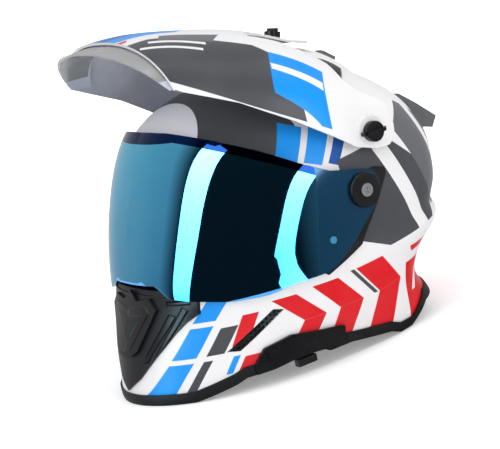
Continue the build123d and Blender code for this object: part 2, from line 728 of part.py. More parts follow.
with BuildPart() as chin_vent_mesh:
    add(vent_hole_block)
    add(mesh_outer_skin, mode=Mode.INTERSECT)
    add(mesh_inner_skin, mode=Mode.SUBTRACT)
keep(chin_vent_mesh.part, "chin_vent_mesh")

# Slanted mesh inserts in the chin sides, perforated in two rows
mesh_start_shares = (-0.668, 0.158)
mesh_end_shares = (-0.432, 0.252)
mesh_run_share = (mesh_end_shares[0] - mesh_start_shares[0]) / (MESH_HOLES_IN_ROW - 1)
mesh_rise_share = (mesh_end_shares[1] - mesh_start_shares[1]) / (MESH_HOLES_IN_ROW - 1)
mesh_row_shares = (-0.008, 0.008)
side_mesh_left_block = side_block(side_mesh_shares, low=0.0)
with BuildPart() as side_mesh_left:
    add(side_mesh_left_block)
    add(mesh_outer_skin, mode=Mode.INTERSECT)
    add(mesh_inner_skin, mode=Mode.SUBTRACT)
    hole_places = [
        (
            (mesh_start_shares[0] + mesh_run_share * step) * HALF_LENGTH,
            (mesh_start_shares[1] + mesh_rise_share * step + row) * CROWN_HEIGHT,
        )
        for step in range(MESH_HOLES_IN_ROW)
        for row in mesh_row_shares
    ]
    with BuildSketch(Plane.YZ):
        with Locations(*hole_places):
            Circle(MESH_HOLE_RADIUS)
    extrude(amount=reach_across, mode=Mode.SUBTRACT)
keep(side_mesh_left.part, "side_mesh_left")
keep(mirror(side_mesh_left.part, about=Plane.YZ), "side_mesh_right")

# Peak: an arch with a tail, side arms and flat seats for its thumb screws
peak_outer_arch = arch(peak_section_shares, PEAK_POWER)
peak_inner_arch = arch(peak_section_shares, PEAK_POWER, PEAK_WALL)
tail_rows = [row for row in peak_section_shares if row[0] > 0.2][:2]
tail_run = (tail_rows[1][0] - tail_rows[0][0]) * HALF_LENGTH
tail_drop = (tail_rows[0][3] - tail_rows[1][3]) * CROWN_HEIGHT
tail_start = tail_rows[0][0] * HALF_LENGTH
tail_slope = tail_drop / tail_run
tail_length = sqrt(tail_run**2 + tail_drop**2)
tail_normal = (0, tail_drop / tail_length, tail_run / tail_length)
top_knob_height = tail_rows[0][3] * CROWN_HEIGHT - (TOP_KNOB_BACK - tail_start) * tail_slope
top_knob_plane = Plane(
    origin=(0, TOP_KNOB_BACK, top_knob_height), x_dir=(1, 0, 0), z_dir=tail_normal
)
with BuildPart() as knob_seats:
    with BuildSketch(Plane.YZ.offset(HALF_WIDTH - KNOB_SEAT_RADIUS)):
        with Locations((PEAK_AXIS_BACK, PEAK_AXIS_HEIGHT)):
            Circle(KNOB_SEAT_RADIUS)
    extrude(amount=PEAK_AXIS_WIDTH - HALF_WIDTH + KNOB_SEAT_RADIUS)
    mirror(about=Plane.YZ)
    add(peak_inner_arch, mode=Mode.SUBTRACT)
peak_side_block = side_block(peak_side_shares)
peak_top_block = top_block(peak_top_shares, 0, 2 * CROWN_HEIGHT)
with BuildPart() as peak:
    add(peak_outer_arch)
    add(peak_inner_arch, mode=Mode.SUBTRACT)
    add(peak_side_block, mode=Mode.INTERSECT)
    add(peak_top_block, mode=Mode.INTERSECT)
    add(knob_seats.part)
    with BuildSketch(Plane.YZ.offset(-reach_across)):
        with Locations((PEAK_AXIS_BACK, PEAK_AXIS_HEIGHT)):
            Circle(KNOB_SHANK_RADIUS + SHAFT_CLEARANCE)
    extrude(amount=2 * reach_across, mode=Mode.SUBTRACT)
    with BuildSketch(top_knob_plane.offset(-KNOB_SHANK_LENGTH)):
        Circle(KNOB_SHANK_RADIUS + SHAFT_CLEARANCE)
    extrude(amount=2 * KNOB_SHANK_LENGTH, mode=Mode.SUBTRACT)
keep(peak.part, "peak")

# Smoked strip that slides out of the peak's front edge
extender_arch = arch(peak_section_shares, PEAK_POWER, PEAK_WALL + EXTENDER_GAP)
extender_inner_arch = arch(
    peak_section_shares, PEAK_POWER, PEAK_WALL + EXTENDER_GAP + EXTENDER_WALL
)
extender_side_block = side_block(extender_side_shares)
with BuildPart() as peak_extender:
    add(extender_arch)
    add(extender_inner_arch, mode=Mode.SUBTRACT)
    add(extender_side_block, mode=Mode.INTERSECT)
keep(peak_extender.part, "peak_extender")

# Threaded bosses on the shell under the peak's arms
knob_inside = PEAK_AXIS_WIDTH + KNOB_GAP
boss_arch = arch(peak_section_shares, PEAK_POWER, PEAK_WALL + BOSS_GAP)
with BuildPart() as peak_bosses:
    with BuildSketch(Plane.YZ.offset(HALF_WIDTH - BOSS_RADIUS - KNOB_SHANK_LENGTH)):
        with Locations((PEAK_AXIS_BACK, PEAK_AXIS_HEIGHT)):
            Circle(BOSS_RADIUS)
            Circle(KNOB_SHANK_RADIUS + SHAFT_CLEARANCE, mode=Mode.SUBTRACT)
    extrude(amount=2 * BOSS_RADIUS + KNOB_SHANK_LENGTH)
    mirror(about=Plane.YZ)
    add(boss_arch, mode=Mode.INTERSECT)
    add(outer_skin, mode=Mode.SUBTRACT)
keep(peak_bosses.part, "peak_bosses")


def thumb_screw(plane, radius, thickness):
    """A ribbed thumb screw with two wings and a shank, standing on a plane."""
    with BuildPart() as knob:
        with BuildSketch(plane):
            Circle(radius)
            Rectangle(2 * (radius + KNOB_WING), KNOB_WING_WIDTH)
        extrude(amount=thickness)
        with BuildSketch(plane.offset(thickness)):
            Rectangle(2 * radius, KNOB_WING_WIDTH)
        extrude(amount=KNOB_WING_WIDTH)
        with BuildSketch(plane):
            Circle(KNOB_SHANK_RADIUS)
        extrude(amount=-KNOB_SHANK_LENGTH)
    return knob.part


side_knob_plane = Plane(
    origin=(knob_inside, PEAK_AXIS_BACK, PEAK_AXIS_HEIGHT), x_dir=(0, 1, 0), z_dir=(1, 0, 0)
)
side_knob = thumb_screw(side_knob_plane, KNOB_RADIUS, KNOB_THICKNESS)
keep(side_knob, "peak_knob_left")
keep(mirror(side_knob, about=Plane.YZ), "peak_knob_right")
keep(thumb_screw(top_knob_plane.offset(TOP_KNOB_GAP), TOP_KNOB_RADIUS, TOP_KNOB_THICKNESS), "peak_top_knob")

# Crown fairing, hollow over the crown vents, slotted for the top thumb screw and the slider
slider_rows = [row for row in fairing_section_shares if row[0] > 0.4][:2]
slider_run = (slider_rows[1][0] - slider_rows[0][0]) * HALF_LENGTH
slider_drop = (slider_rows[0][3] - slider_rows[1][3]) * CROWN_HEIGHT
slider_span = sqrt(slider_run**2 + slider_drop**2)
slider_plane = Plane(
    origin=(
        0,
        slider_rows[0][0] * HALF_LENGTH + slider_run / 2,
        slider_rows[0][3] * CROWN_HEIGHT - slider_drop / 2,
    ),
    x_dir=(1, 0, 0),
    z_dir=(0, slider_drop / slider_span, slider_run / slider_span),
)
fairing_arch = arch(fairing_section_shares, FAIRING_POWER)
fairing_inner_arch = arch(fairing_section_shares, FAIRING_POWER, FAIRING_WALL)
with BuildPart() as crown_fairing:
    add(fairing_arch)
    add(fairing_inner_arch, mode=Mode.SUBTRACT)
    add(outer_skin, mode=Mode.SUBTRACT)
    with BuildSketch(Plane.XY.offset(CROWN_HEIGHT)):
        with Locations((0, TOP_KNOB_BACK)):
            Rectangle(2 * (KNOB_SHANK_RADIUS + CLEARANCE), 2 * FAIRING_SLOT_HALF)
    extrude(amount=CROWN_HEIGHT, mode=Mode.SUBTRACT)
    with BuildSketch(slider_plane.offset(-SLIDER_LENGTH / 2)):
        with Locations((0, SLIDER_TRAVEL / 2)):
            Rectangle(SLIDER_PEG_WIDTH + 2 * CLEARANCE, SLIDER_PEG_WIDTH + SLIDER_TRAVEL + 2 * CLEARANCE)
    extrude(amount=SLIDER_LENGTH, mode=Mode.SUBTRACT)
keep(crown_fairing.part, "crown_fairing")
with BuildPart() as crown_vent_slider:
    with BuildSketch(slider_plane.offset(SLIDER_LIFT)):
        RectangleRounded(SLIDER_WIDTH, SLIDER_LENGTH, SLIDER_THICKNESS)
    extrude(amount=SLIDER_THICKNESS)
    with BuildSketch(slider_plane.offset(SLIDER_LIFT)):
        Rectangle(SLIDER_PEG_WIDTH, SLIDER_PEG_WIDTH)
    extrude(amount=-FAIRING_WALL - SLIDER_LIFT)
keep(crown_vent_slider.part, "crown_vent_slider")

# Dark air scoops beside the fairing
scoop_skin = skin(shell_section_shares, CROWN_VENT_PROUD)
scoop_block = top_block(crown_vent_shares, HALF_LENGTH, 2 * CROWN_HEIGHT, both_sides=False)
fairing_clear_arch = arch(fairing_section_shares, FAIRING_POWER, -CLEARANCE)
with BuildPart() as crown_vent_left:
    add(scoop_block)
    add(scoop_skin, mode=Mode.INTERSECT)
    add(outer_skin, mode=Mode.SUBTRACT)
    add(fairing_clear_arch, mode=Mode.SUBTRACT)
    add(crown_slot_left, mode=Mode.SUBTRACT)
keep(crown_vent_left.part, "crown_vent_left")
keep(mirror(crown_vent_left.part, about=Plane.YZ) - outer_skin, "crown_vent_right")

# Rear spoiler with its exhaust pocket and grille
pocket_side_shares = [(0.900, 0.700), (1.010, 0.625), (1.010, 0.590), (0.960, 0.600), (0.880, 0.640)]
grille_side_shares = [(0.968, 0.690), (0.980, 0.690), (0.972, 0.590), (0.960, 0.590)]
pocket_block = side_block(pocket_side_shares, low=-POCKET_HALF_WIDTH, high=POCKET_HALF_WIDTH)
spoiler_side_block = side_block(
    spoiler_side_shares, low=-SPOILER_HALF_WIDTH, high=SPOILER_HALF_WIDTH
)
spoiler_top_block = top_block(spoiler_top_shares, 0, 2 * CROWN_HEIGHT)
with BuildPart() as rear_spoiler:
    add(spoiler_side_block)
    add(spoiler_top_block, mode=Mode.INTERSECT)
    add(outer_skin, mode=Mode.SUBTRACT)
    add(pocket_block, mode=Mode.SUBTRACT)
keep(rear_spoiler.part, "rear_spoiler")
grille_block = side_block(grille_side_shares, low=-POCKET_HALF_WIDTH, high=POCKET_HALF_WIDTH)
with BuildPart() as rear_vent_grille:
    add(pocket_block)
    add(grille_block, mode=Mode.INTERSECT)
keep(rear_vent_grille.part, "rear_vent_grille")

# Sun visor: a dish about its own cross axis, stowed between shell and foam
visor_axis = Axis((0, VISOR_BACK, VISOR_HEIGHT), (-1, 0, 0))


def visor_dish(outer_grow, inner_shrink, low_angle, high_angle):
    """The dish between two angles above straight ahead, grown outside and inside."""
    aim = radians(low_angle)
    profile_plane = Plane(
        origin=(0, VISOR_BACK, VISOR_HEIGHT), x_dir=(1, 0, 0), z_dir=(0, -sin(aim), -cos(aim))
    )

    def dish_curve(half_width, radius):
        points = []
        for index in range(VISOR_POINTS + 1):
            angle = VISOR_START + (pi - 2 * VISOR_START) * index / VISOR_POINTS
            side = 1 if cos(angle) > 0 else -1
            points.append(
                (
                    half_width * side * abs(cos(angle)) ** (2 / VISOR_POWER),
                    radius * sin(angle) ** (2 / VISOR_POWER),
                )
            )
        return points

    outer = dish_curve(VISOR_HALF_WIDTH + min(outer_grow, VISOR_POCKET_GAP), VISOR_RADIUS + outer_grow)
    inner = dish_curve(
        VISOR_HALF_WIDTH - VISOR_WALL - inner_shrink, VISOR_RADIUS - VISOR_WALL - inner_shrink
    )
    with BuildPart() as dish:
        with BuildSketch(profile_plane):
            with BuildLine():
                Spline(*outer)
                Line(outer[-1], inner[-1])
                Spline(*inner)
                Line(inner[0], outer[0])
            make_face()
        revolve(axis=visor_axis, revolution_arc=high_angle - low_angle)
    return dish.part


stowed_dish = visor_dish(0.0, 0.0, VISOR_LOW_ANGLE, VISOR_HIGH_ANGLE)
with BuildPart() as sun_visor:
    add(stowed_dish)
    with BuildSketch(Plane.YZ.offset(VISOR_HALF_WIDTH - VISOR_WALL)):
        with Locations((VISOR_BACK, VISOR_HEIGHT)):
            Circle(VISOR_BOSS_RADIUS)
    extrude(amount=VISOR_WALL)
    with BuildSketch(Plane.YZ.offset(-VISOR_HALF_WIDTH)):
        with Locations((VISOR_BACK, VISOR_HEIGHT)):
            Circle(VISOR_BOSS_RADIUS)
    extrude(amount=VISOR_WALL)
    with BuildSketch(Plane.YZ.offset(-reach_across)):
        with Locations((VISOR_BACK, VISOR_HEIGHT)):
            Circle(VISOR_PIN_RADIUS + SHAFT_CLEARANCE)
    extrude(amount=2 * reach_across, mode=Mode.SUBTRACT)
keep(sun_visor.part, "sun_visor")
pin_length = reach_across - VISOR_HALF_WIDTH
with BuildPart() as sun_visor_pins:
    with BuildSketch(Plane.YZ.offset(VISOR_HALF_WIDTH - VISOR_WALL - CLEARANCE)):
        with Locations((VISOR_BACK, VISOR_HEIGHT)):
            Circle(VISOR_PIN_RADIUS)
    extrude(amount=pin_length)
    with BuildSketch(Plane.YZ.offset(VISOR_HALF_WIDTH + CLEARANCE)):
        with Locations((VISOR_BACK, VISOR_HEIGHT)):
            Circle(VISOR_BOSS_RADIUS)
    extrude(amount=pin_length)
    add(shell_inner_skin, mode=Mode.INTERSECT)
    mirror(about=Plane.YZ)
    add(outer_shell.part, mode=Mode.SUBTRACT)
keep(sun_visor_pins.part, "sun_visor_pins")

# Impact foam: main liner and chin bar liner
foam_rim_lift = 2.4 * TRIM_HEIGHT
foam_front_shares = [
    (-1.400, -0.200), (-1.400, 0.868), (-0.480, 0.868), (-0.400, 0.800), (-0.300, 0.700),
    (-0.245, 0.600), (-0.245, 0.420), (-0.375, 0.370), (-0.375, -0.200),
]
visor_pocket = visor_dish(
    POCKET_DEPTH,
    VISOR_POCKET_GAP,
    VISOR_LOW_ANGLE - VISOR_SWING - POCKET_MARGIN_ANGLE,
    VISOR_HIGH_ANGLE + POCKET_MARGIN_ANGLE,
)
foam_underside = under_rim(foam_rim_lift)
foam_front_block = side_block(foam_front_shares)
with BuildPart() as eps_liner:
    add(foam_outer_skin)
    add(foam_inner_skin, mode=Mode.SUBTRACT)
    add(foam_underside, mode=Mode.SUBTRACT)
    add(foam_front_block, mode=Mode.SUBTRACT)
    add(visor_pocket, mode=Mode.SUBTRACT)
    with BuildSketch(Plane.YZ.offset(-reach_across)):
        with Locations((VISOR_BACK, VISOR_HEIGHT)):
            Circle(VISOR_BOSS_RADIUS + POCKET_BORE_GAP)
    extrude(amount=2 * reach_across, mode=Mode.SUBTRACT)
keep(eps_liner.part, "eps_liner")
chin_foam_shares = [
    (-1.300, -0.100), (-1.300, 0.368), (-0.600, 0.350), (-0.400, 0.350), (-0.400, -0.100),
]
chin_foam_inner = foam_outer - CHIN_FOAM_THICKNESS
chin_inner_skin = skin(shell_section_shares, chin_foam_inner)
chin_foam_block = side_block(chin_foam_shares)
with BuildPart() as chin_liner:
    add(chin_foam_block)
    add(foam_outer_skin, mode=Mode.INTERSECT)
    add(chin_inner_skin, mode=Mode.SUBTRACT)
    add(foam_underside, mode=Mode.SUBTRACT)
keep(chin_liner.part, "chin_liner")

# Comfort pads inside the foam
crown_pad_shares = [
    (-0.420, 0.860), (-0.300, 0.740), (0.300, 0.700), (0.700, 0.680), (0.700, 1.100), (-0.420, 1.100),
]
cheek_pad_shares = [
    (-0.350, 0.130), (-0.370, 0.200), (-0.350, 0.330), (-0.220, 0.400), (0.040, 0.420),
    (0.120, 0.370), (0.140, 0.220), (0.080, 0.130),
]
neck_pad_shares = [(0.200, 0.130), (0.240, 0.330), (0.900, 0.360), (0.900, 0.130)]
crown_pad_block = side_block(crown_pad_shares)
crown_pad_hollow = skin(shell_section_shares, foam_inner - PAD_GAP - CROWN_PAD_THICKNESS)
with BuildPart() as crown_pad:
    add(crown_pad_block)
    add(pad_skin, mode=Mode.INTERSECT)
    add(crown_pad_hollow, mode=Mode.SUBTRACT)
keep(crown_pad.part, "crown_pad")
cheek_pad_block = side_block(cheek_pad_shares, low=0.0)
cheek_pad_hollow = skin(shell_section_shares, foam_inner - PAD_GAP - CHEEK_PAD_THICKNESS)
with BuildPart() as cheek_pad_left:
    add(cheek_pad_block)
    add(pad_skin, mode=Mode.INTERSECT)
    add(cheek_pad_hollow, mode=Mode.SUBTRACT)
keep(cheek_pad_left.part, "cheek_pad_left")
keep(mirror(cheek_pad_left.part, about=Plane.YZ), "cheek_pad_right")
neck_roll_block = side_block(neck_pad_shares)
neck_roll_hollow = skin(shell_section_shares, foam_inner - PAD_GAP - NECK_PAD_THICKNESS)
with BuildPart() as neck_roll:
    add(neck_roll_block)
    add(pad_skin, mode=Mode.INTERSECT)
    add(neck_roll_hollow, mode=Mode.SUBTRACT)
keep(neck_roll.part, "neck_roll")

# Fabric curtain under the chin and moulded guard over the nose
curtain_skin = skin(shell_section_shares, -SHELL_WALL - TRIM_PROUD - CLEARANCE)
curtain_hollow = skin(shell_section_shares, -CURTAIN_DEPTH)
curtain_top = under_rim(CURTAIN_LIFT + CURTAIN_THICKNESS)
curtain_underside = under_rim(CURTAIN_LIFT)
curtain_length = slab(-HALF_LENGTH - OVERRUN, -CURTAIN_AFT)
with BuildPart() as chin_curtain:
    add(curtain_length)
    add(curtain_top, mode=Mode.INTERSECT)
    add(curtain_underside, mode=Mode.SUBTRACT)
    add(curtain_skin, mode=Mode.INTERSECT)
    add(curtain_hollow, mode=Mode.SUBTRACT)
keep(chin_curtain.part, "chin_curtain")
guard_skin = skin(shell_section_shares, chin_foam_inner - CLEARANCE)
guard_inner_skin = skin(shell_section_shares, chin_foam_inner - CLEARANCE - GUARD_WALL)
guard_block = front_block(guard_shares, -HALF_LENGTH, -GUARD_AFT)
with BuildPart() as breath_guard:
    add(guard_block)
    add(guard_skin, mode=Mode.INTERSECT)
    add(guard_inner_skin, mode=Mode.SUBTRACT)
keep(breath_guard.part, "breath_guard")

# Sun visor slider: a T-headed tab in a track inside the left rim
tab_middle = -TAB_FORE + TAB_LENGTH / 2
tab_stem_out = TAB_STEM_IN + TAB_STEM_THICKNESS
tab_head_in = TAB_STEM_IN - TAB_HEAD_WING
tab_head_out = tab_stem_out + TAB_HEAD_WING
tab_head_top = TAB_HEAD_BASE + TAB_HEAD_HEIGHT
with BuildPart() as sun_visor_tab:
    with BuildSketch(Plane.XZ.offset(-tab_middle)):
        with BuildLine():
            Polyline(
                (TAB_STEM_IN, TAB_GRIP_BASE),
                (TAB_GRIP_OUT, TAB_GRIP_BASE),
                (TAB_GRIP_OUT, TAB_GRIP_TOP),
                (tab_stem_out, TAB_GRIP_TOP),
                (tab_stem_out, TAB_HEAD_BASE),
                (tab_head_out, TAB_HEAD_BASE),
                (tab_head_out, tab_head_top),
                (tab_head_in, tab_head_top),
                (tab_head_in, TAB_HEAD_BASE),
                (TAB_STEM_IN, TAB_HEAD_BASE),
                close=True,
            )
        make_face()
    extrude(amount=TAB_LENGTH / 2, both=True)
keep(sun_visor_tab.part, "sun_visor_tab")
groove_length = TAB_LENGTH + TAB_TRAVEL + 2 * TRACK_CLEARANCE
track_length = TAB_LENGTH + TAB_TRAVEL + 2 * TRACK_WALL
track_middle = -TAB_FORE - TRACK_WALL + track_length / 2
track_reach = HALF_WIDTH - tab_head_in
with BuildPart() as sun_visor_track:
    with BuildSketch(Plane.XY.offset(TRACK_BASE)):
        with Locations((tab_head_in - TRACK_WALL + track_reach / 2, track_middle)):
            Rectangle(track_reach, track_length)
    extrude(amount=tab_head_top + TRACK_WALL - TRACK_BASE)
    add(shell_inner_skin, mode=Mode.INTERSECT)
    with BuildSketch(Plane.XY.offset(TAB_HEAD_BASE - TRACK_CLEARANCE)):
        with Locations(((tab_head_in + tab_head_out) / 2, track_middle)):
            Rectangle(tab_head_out - tab_head_in + 2 * TRACK_CLEARANCE, groove_length)
    extrude(amount=TAB_HEAD_HEIGHT + 2 * TRACK_CLEARANCE, mode=Mode.SUBTRACT)
    with BuildSketch(Plane.XY):
        with Locations(((TAB_STEM_IN + tab_stem_out) / 2, track_middle)):
            Rectangle(TAB_STEM_THICKNESS + 2 * TRACK_CLEARANCE, groove_length)
    extrude(amount=TAB_HEAD_BASE, mode=Mode.SUBTRACT)
keep(sun_visor_track.part, "sun_visor_track")

# Chin strap webbing, sagging from its riveted anchors to the buckle
strap_plane = Plane.XZ.offset(-STRAP_BACK)
anchor_inside = STRAP_TOP_ACROSS + STRAP_THICKNESS / 2 + ANCHOR_GAP
head_outside = STRAP_TOP_ACROSS - STRAP_THICKNESS / 2 - ANCHOR_GAP
buckle_strap_height = BUCKLE_BASE + BUCKLE_PLATE + ANCHOR_GAP + STRAP_THICKNESS / 2
tongue_base = BUCKLE_BASE + BUCKLE_PLATE + ANCHOR_GAP
tongue_strap_height = tongue_base + TONGUE_THICKNESS + ANCHOR_GAP + STRAP_THICKNESS / 2


def webbing(side, sag_points, lay_start, lay_end, lay_height, post):
    """A length of webbing from an anchor, down, and flat onto a plate with a post."""
    top = (side * STRAP_TOP_ACROSS, STRAP_TOP)
    bend = (side * STRAP_TOP_ACROSS, STRAP_BEND)
    points = [bend] + [(side * across, height) for across, height in sag_points] + [(lay_start, lay_height)]
    with BuildPart() as strap:
        with BuildSketch(strap_plane):
            with BuildLine():
                Line(top, bend)
                Spline(*points, tangents=[(0, -1), (-side, 0)])
                Line((lay_start, lay_height), (lay_end, lay_height))
            trace(line_width=STRAP_THICKNESS)
        extrude(amount=STRAP_WIDTH / 2, both=True)
        with BuildSketch(Plane.YZ.offset(side * HALF_WIDTH / 2)):
            with Locations((STRAP_BACK, RIVET_HEIGHT)):
                Circle(RIVET_RADIUS + CLEARANCE)
        extrude(amount=side * HALF_WIDTH / 2, mode=Mode.SUBTRACT)
        with BuildSketch(Plane.XY):
            with Locations((post, STRAP_BACK)):
                Circle(RIVET_RADIUS + CLEARANCE)
        extrude(amount=RIVET_HEIGHT, mode=Mode.SUBTRACT)
    return strap.part


left_post = BUCKLE_TAIL - POST_INSET
right_post = TONGUE_TAIL + POST_INSET
strap_left = webbing(
    1, STRAP_SAG_LEFT, BUCKLE_TAIL, BUCKLE_REAR + ANCHOR_GAP, buckle_strap_height, left_post
)
keep(strap_left, "strap_left")
strap_right = webbing(
    -1, STRAP_SAG_RIGHT, TONGUE_TAIL, TONGUE_TAIL + 2 * POST_INSET, tongue_strap_height, right_post
)
keep(strap_right, "strap_right")
with BuildPart() as strap_anchors:
    with BuildSketch(Plane.YZ.offset(anchor_inside)):
        with Locations((STRAP_BACK, (ANCHOR_BASE + STRAP_TOP) / 2)):
            Rectangle(ANCHOR_WIDTH, STRAP_TOP - ANCHOR_BASE)
    extrude(amount=OVERRUN)
    mirror(about=Plane.YZ)
    add(shell_inner_skin, mode=Mode.INTERSECT)
    for side in (1, -1):
        with BuildSketch(Plane.YZ.offset(side * head_outside)):
            with Locations((STRAP_BACK, RIVET_HEIGHT)):
                Circle(RIVET_RADIUS)
        extrude(amount=side * (anchor_inside - head_outside))
        with BuildSketch(Plane.YZ.offset(side * head_outside)):
            with Locations((STRAP_BACK, RIVET_HEIGHT)):
                Circle(RIVET_HEAD_RADIUS)
        extrude(amount=-side * RIVET_HEAD_THICKNESS)
keep(strap_anchors.part, "strap_anchors")

# Ratchet buckle: body with side walls and a post for the webbing, lever on its pin, toothed tongue
wall_inside = BUCKLE_WIDTH / 2 - BUCKLE_PLATE
with BuildPart() as buckle_body:
    with BuildSketch(Plane.XY.offset(BUCKLE_BASE)):
        with Locations(((BUCKLE_FRONT + BUCKLE_REAR) / 2, STRAP_BACK)):
            Rectangle(BUCKLE_REAR - BUCKLE_FRONT, BUCKLE_WIDTH)
        with Locations(((BUCKLE_REAR + BUCKLE_TAIL) / 2, STRAP_BACK)):
            Rectangle(BUCKLE_TAIL - BUCKLE_REAR, ANCHOR_WIDTH)
    extrude(amount=BUCKLE_PLATE)
    with BuildSketch(Plane.XY.offset(BUCKLE_BASE)):
        with Locations(
            ((BUCKLE_FRONT + BUCKLE_REAR) / 2, STRAP_BACK + BUCKLE_WIDTH / 2 - BUCKLE_PLATE / 2),
            ((BUCKLE_FRONT + BUCKLE_REAR) / 2, STRAP_BACK - BUCKLE_WIDTH / 2 + BUCKLE_PLATE / 2),
        ):
            Rectangle(BUCKLE_REAR - BUCKLE_FRONT, BUCKLE_PLATE)
    extrude(amount=BUCKLE_HEIGHT)
    with BuildSketch(Plane.XY.offset(BUCKLE_BASE)):
        with Locations((left_post, STRAP_BACK)):
            Circle(RIVET_RADIUS)
    extrude(amount=buckle_strap_height + STRAP_THICKNESS / 2 + ANCHOR_GAP - BUCKLE_BASE)
    with BuildSketch(Plane.XY.offset(buckle_strap_height + STRAP_THICKNESS / 2 + ANCHOR_GAP)):
        with Locations((left_post, STRAP_BACK)):
            Circle(RIVET_HEAD_RADIUS)
    extrude(amount=RIVET_HEAD_THICKNESS)
    with BuildSketch(Plane.XZ.offset(-STRAP_BACK)):
        with Locations((LEVER_PIN_ACROSS, LEVER_PIN_HEIGHT)):
            Circle(LEVER_PIN_RADIUS + SHAFT_CLEARANCE)
    extrude(amount=BUCKLE_WIDTH, both=True, mode=Mode.SUBTRACT)
keep(buckle_body.part, "buckle_body")
lever_half = wall_inside - CLEARANCE
with BuildPart() as buckle_lever:
    with BuildSketch(strap_plane):
        with Locations((LEVER_PIN_ACROSS, LEVER_PIN_HEIGHT)):
            Circle(LEVER_KNUCKLE_RADIUS)
        with Locations(((BUCKLE_FRONT + LEVER_PIN_ACROSS) / 2, LEVER_PIN_HEIGHT + LEVER_LIFT)):
            Rectangle(LEVER_PIN_ACROSS - BUCKLE_FRONT, LEVER_THICKNESS)
        with Locations((BUCKLE_FRONT + LEVER_THICKNESS / 2, LEVER_PIN_HEIGHT + LEVER_LIFT - PAWL_DROP)):
            Rectangle(LEVER_THICKNESS, LEVER_THICKNESS)
    extrude(amount=lever_half, both=True)
    with BuildSketch(strap_plane):
        with Locations((LEVER_PIN_ACROSS, LEVER_PIN_HEIGHT)):
            Circle(LEVER_PIN_RADIUS)
    extrude(amount=BUCKLE_WIDTH / 2 + CLEARANCE, both=True)
keep(buckle_lever.part, "buckle_lever")
tooth_pitch = 2 * TOOTH_WIDTH
with BuildPart() as ratchet_tongue:
    with BuildSketch(Plane.XY.offset(tongue_base)):
        with Locations(((TONGUE_TAIL + TONGUE_TIP) / 2, STRAP_BACK)):
            RectangleRounded(TONGUE_TIP - TONGUE_TAIL, TONGUE_WIDTH, TONGUE_THICKNESS)
    extrude(amount=TONGUE_THICKNESS)
    with BuildSketch(Plane.XY.offset(tongue_base + TONGUE_THICKNESS)):
        for tooth in range(TOOTH_COUNT):
            with Locations((TONGUE_TIP - tooth_pitch * (tooth + 1), STRAP_BACK)):
                Rectangle(TOOTH_WIDTH, TONGUE_WIDTH - 2 * TOOTH_WIDTH)
    extrude(amount=TOOTH_HEIGHT)
    with BuildSketch(Plane.XY.offset(tongue_base)):
        with Locations((right_post, STRAP_BACK)):
            Circle(RIVET_RADIUS)
    extrude(amount=tongue_strap_height + STRAP_THICKNESS / 2 + ANCHOR_GAP - tongue_base)
    with BuildSketch(Plane.XY.offset(tongue_strap_height + STRAP_THICKNESS / 2 + ANCHOR_GAP)):
        with Locations((right_post, STRAP_BACK)):
            Circle(RIVET_HEAD_RADIUS)
    extrude(amount=RIVET_HEAD_THICKNESS)
keep(ratchet_tongue.part, "ratchet_tongue")
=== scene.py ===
# %% [markdown]
# # Dual sport helmet
# A full-face helmet with a sun peak, a mirror-blue shield that lifts, a black chin vent and rubber rim
# trims. The hard pieces come measured from the CAD frame. Here they get smooth skins, paint, rubber,
# cloth and light. A modeller could sculpt the shell by eye, but then its hinges would no longer meet, so
# every piece starts from the solid that already fits.

import json
from math import cos, radians, sin

import bpy
import numpy as np
from mathutils import Matrix, Vector
from mathutils.kdtree import KDTree

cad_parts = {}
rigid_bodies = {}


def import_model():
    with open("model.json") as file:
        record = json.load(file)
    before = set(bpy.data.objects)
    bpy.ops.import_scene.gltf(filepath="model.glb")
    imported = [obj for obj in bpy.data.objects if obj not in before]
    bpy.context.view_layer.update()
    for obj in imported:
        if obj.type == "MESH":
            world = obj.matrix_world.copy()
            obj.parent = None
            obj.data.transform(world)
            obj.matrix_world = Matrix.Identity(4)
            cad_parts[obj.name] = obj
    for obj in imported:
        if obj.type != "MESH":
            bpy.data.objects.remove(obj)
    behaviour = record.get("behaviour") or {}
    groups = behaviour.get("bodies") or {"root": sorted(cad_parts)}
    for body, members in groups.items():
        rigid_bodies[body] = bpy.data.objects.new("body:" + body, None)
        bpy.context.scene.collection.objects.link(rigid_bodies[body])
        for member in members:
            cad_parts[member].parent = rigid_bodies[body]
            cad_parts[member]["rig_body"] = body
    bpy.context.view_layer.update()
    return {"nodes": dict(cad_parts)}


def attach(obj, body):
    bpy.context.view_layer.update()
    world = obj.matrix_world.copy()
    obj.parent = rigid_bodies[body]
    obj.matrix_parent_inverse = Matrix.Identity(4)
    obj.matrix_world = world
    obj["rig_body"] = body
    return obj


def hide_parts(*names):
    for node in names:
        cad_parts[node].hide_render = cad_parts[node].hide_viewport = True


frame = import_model()
nodes = frame["nodes"]

# %% [markdown]
# ## Camera
# The helmet stands on its rim, and the photograph shows it pitched nose-down. Rolling the camera gives the
# same picture without lifting the helmet off its surface. The lens is long, as product pictures are, so
# the near cheek isn't swollen.

# %% Place the camera
CAMERA_PLACE = Vector((1.3306, -0.7440, 0.4324))
CAMERA_RIGHT = Vector((0.50679, 0.83225, -0.22479))
CAMERA_UP = Vector((-0.06804, 0.29856, 0.95196))
SENSOR_WIDTH = 36.0
FOCAL_LENGTH = 129.6

bpy.ops.object.camera_add(location=CAMERA_PLACE)
camera = bpy.context.object
camera.name = "photo_camera"
camera_back = CAMERA_RIGHT.cross(CAMERA_UP).normalized()
turn = Matrix((CAMERA_RIGHT.normalized(), CAMERA_UP.normalized(), camera_back)).transposed()
camera.matrix_world = Matrix.Translation(CAMERA_PLACE) @ turn.to_4x4()
camera.data.sensor_width = SENSOR_WIDTH
camera.data.lens = FOCAL_LENGTH
bpy.context.scene.camera = camera
print("camera at", [round(v, 3) for v in camera.location])

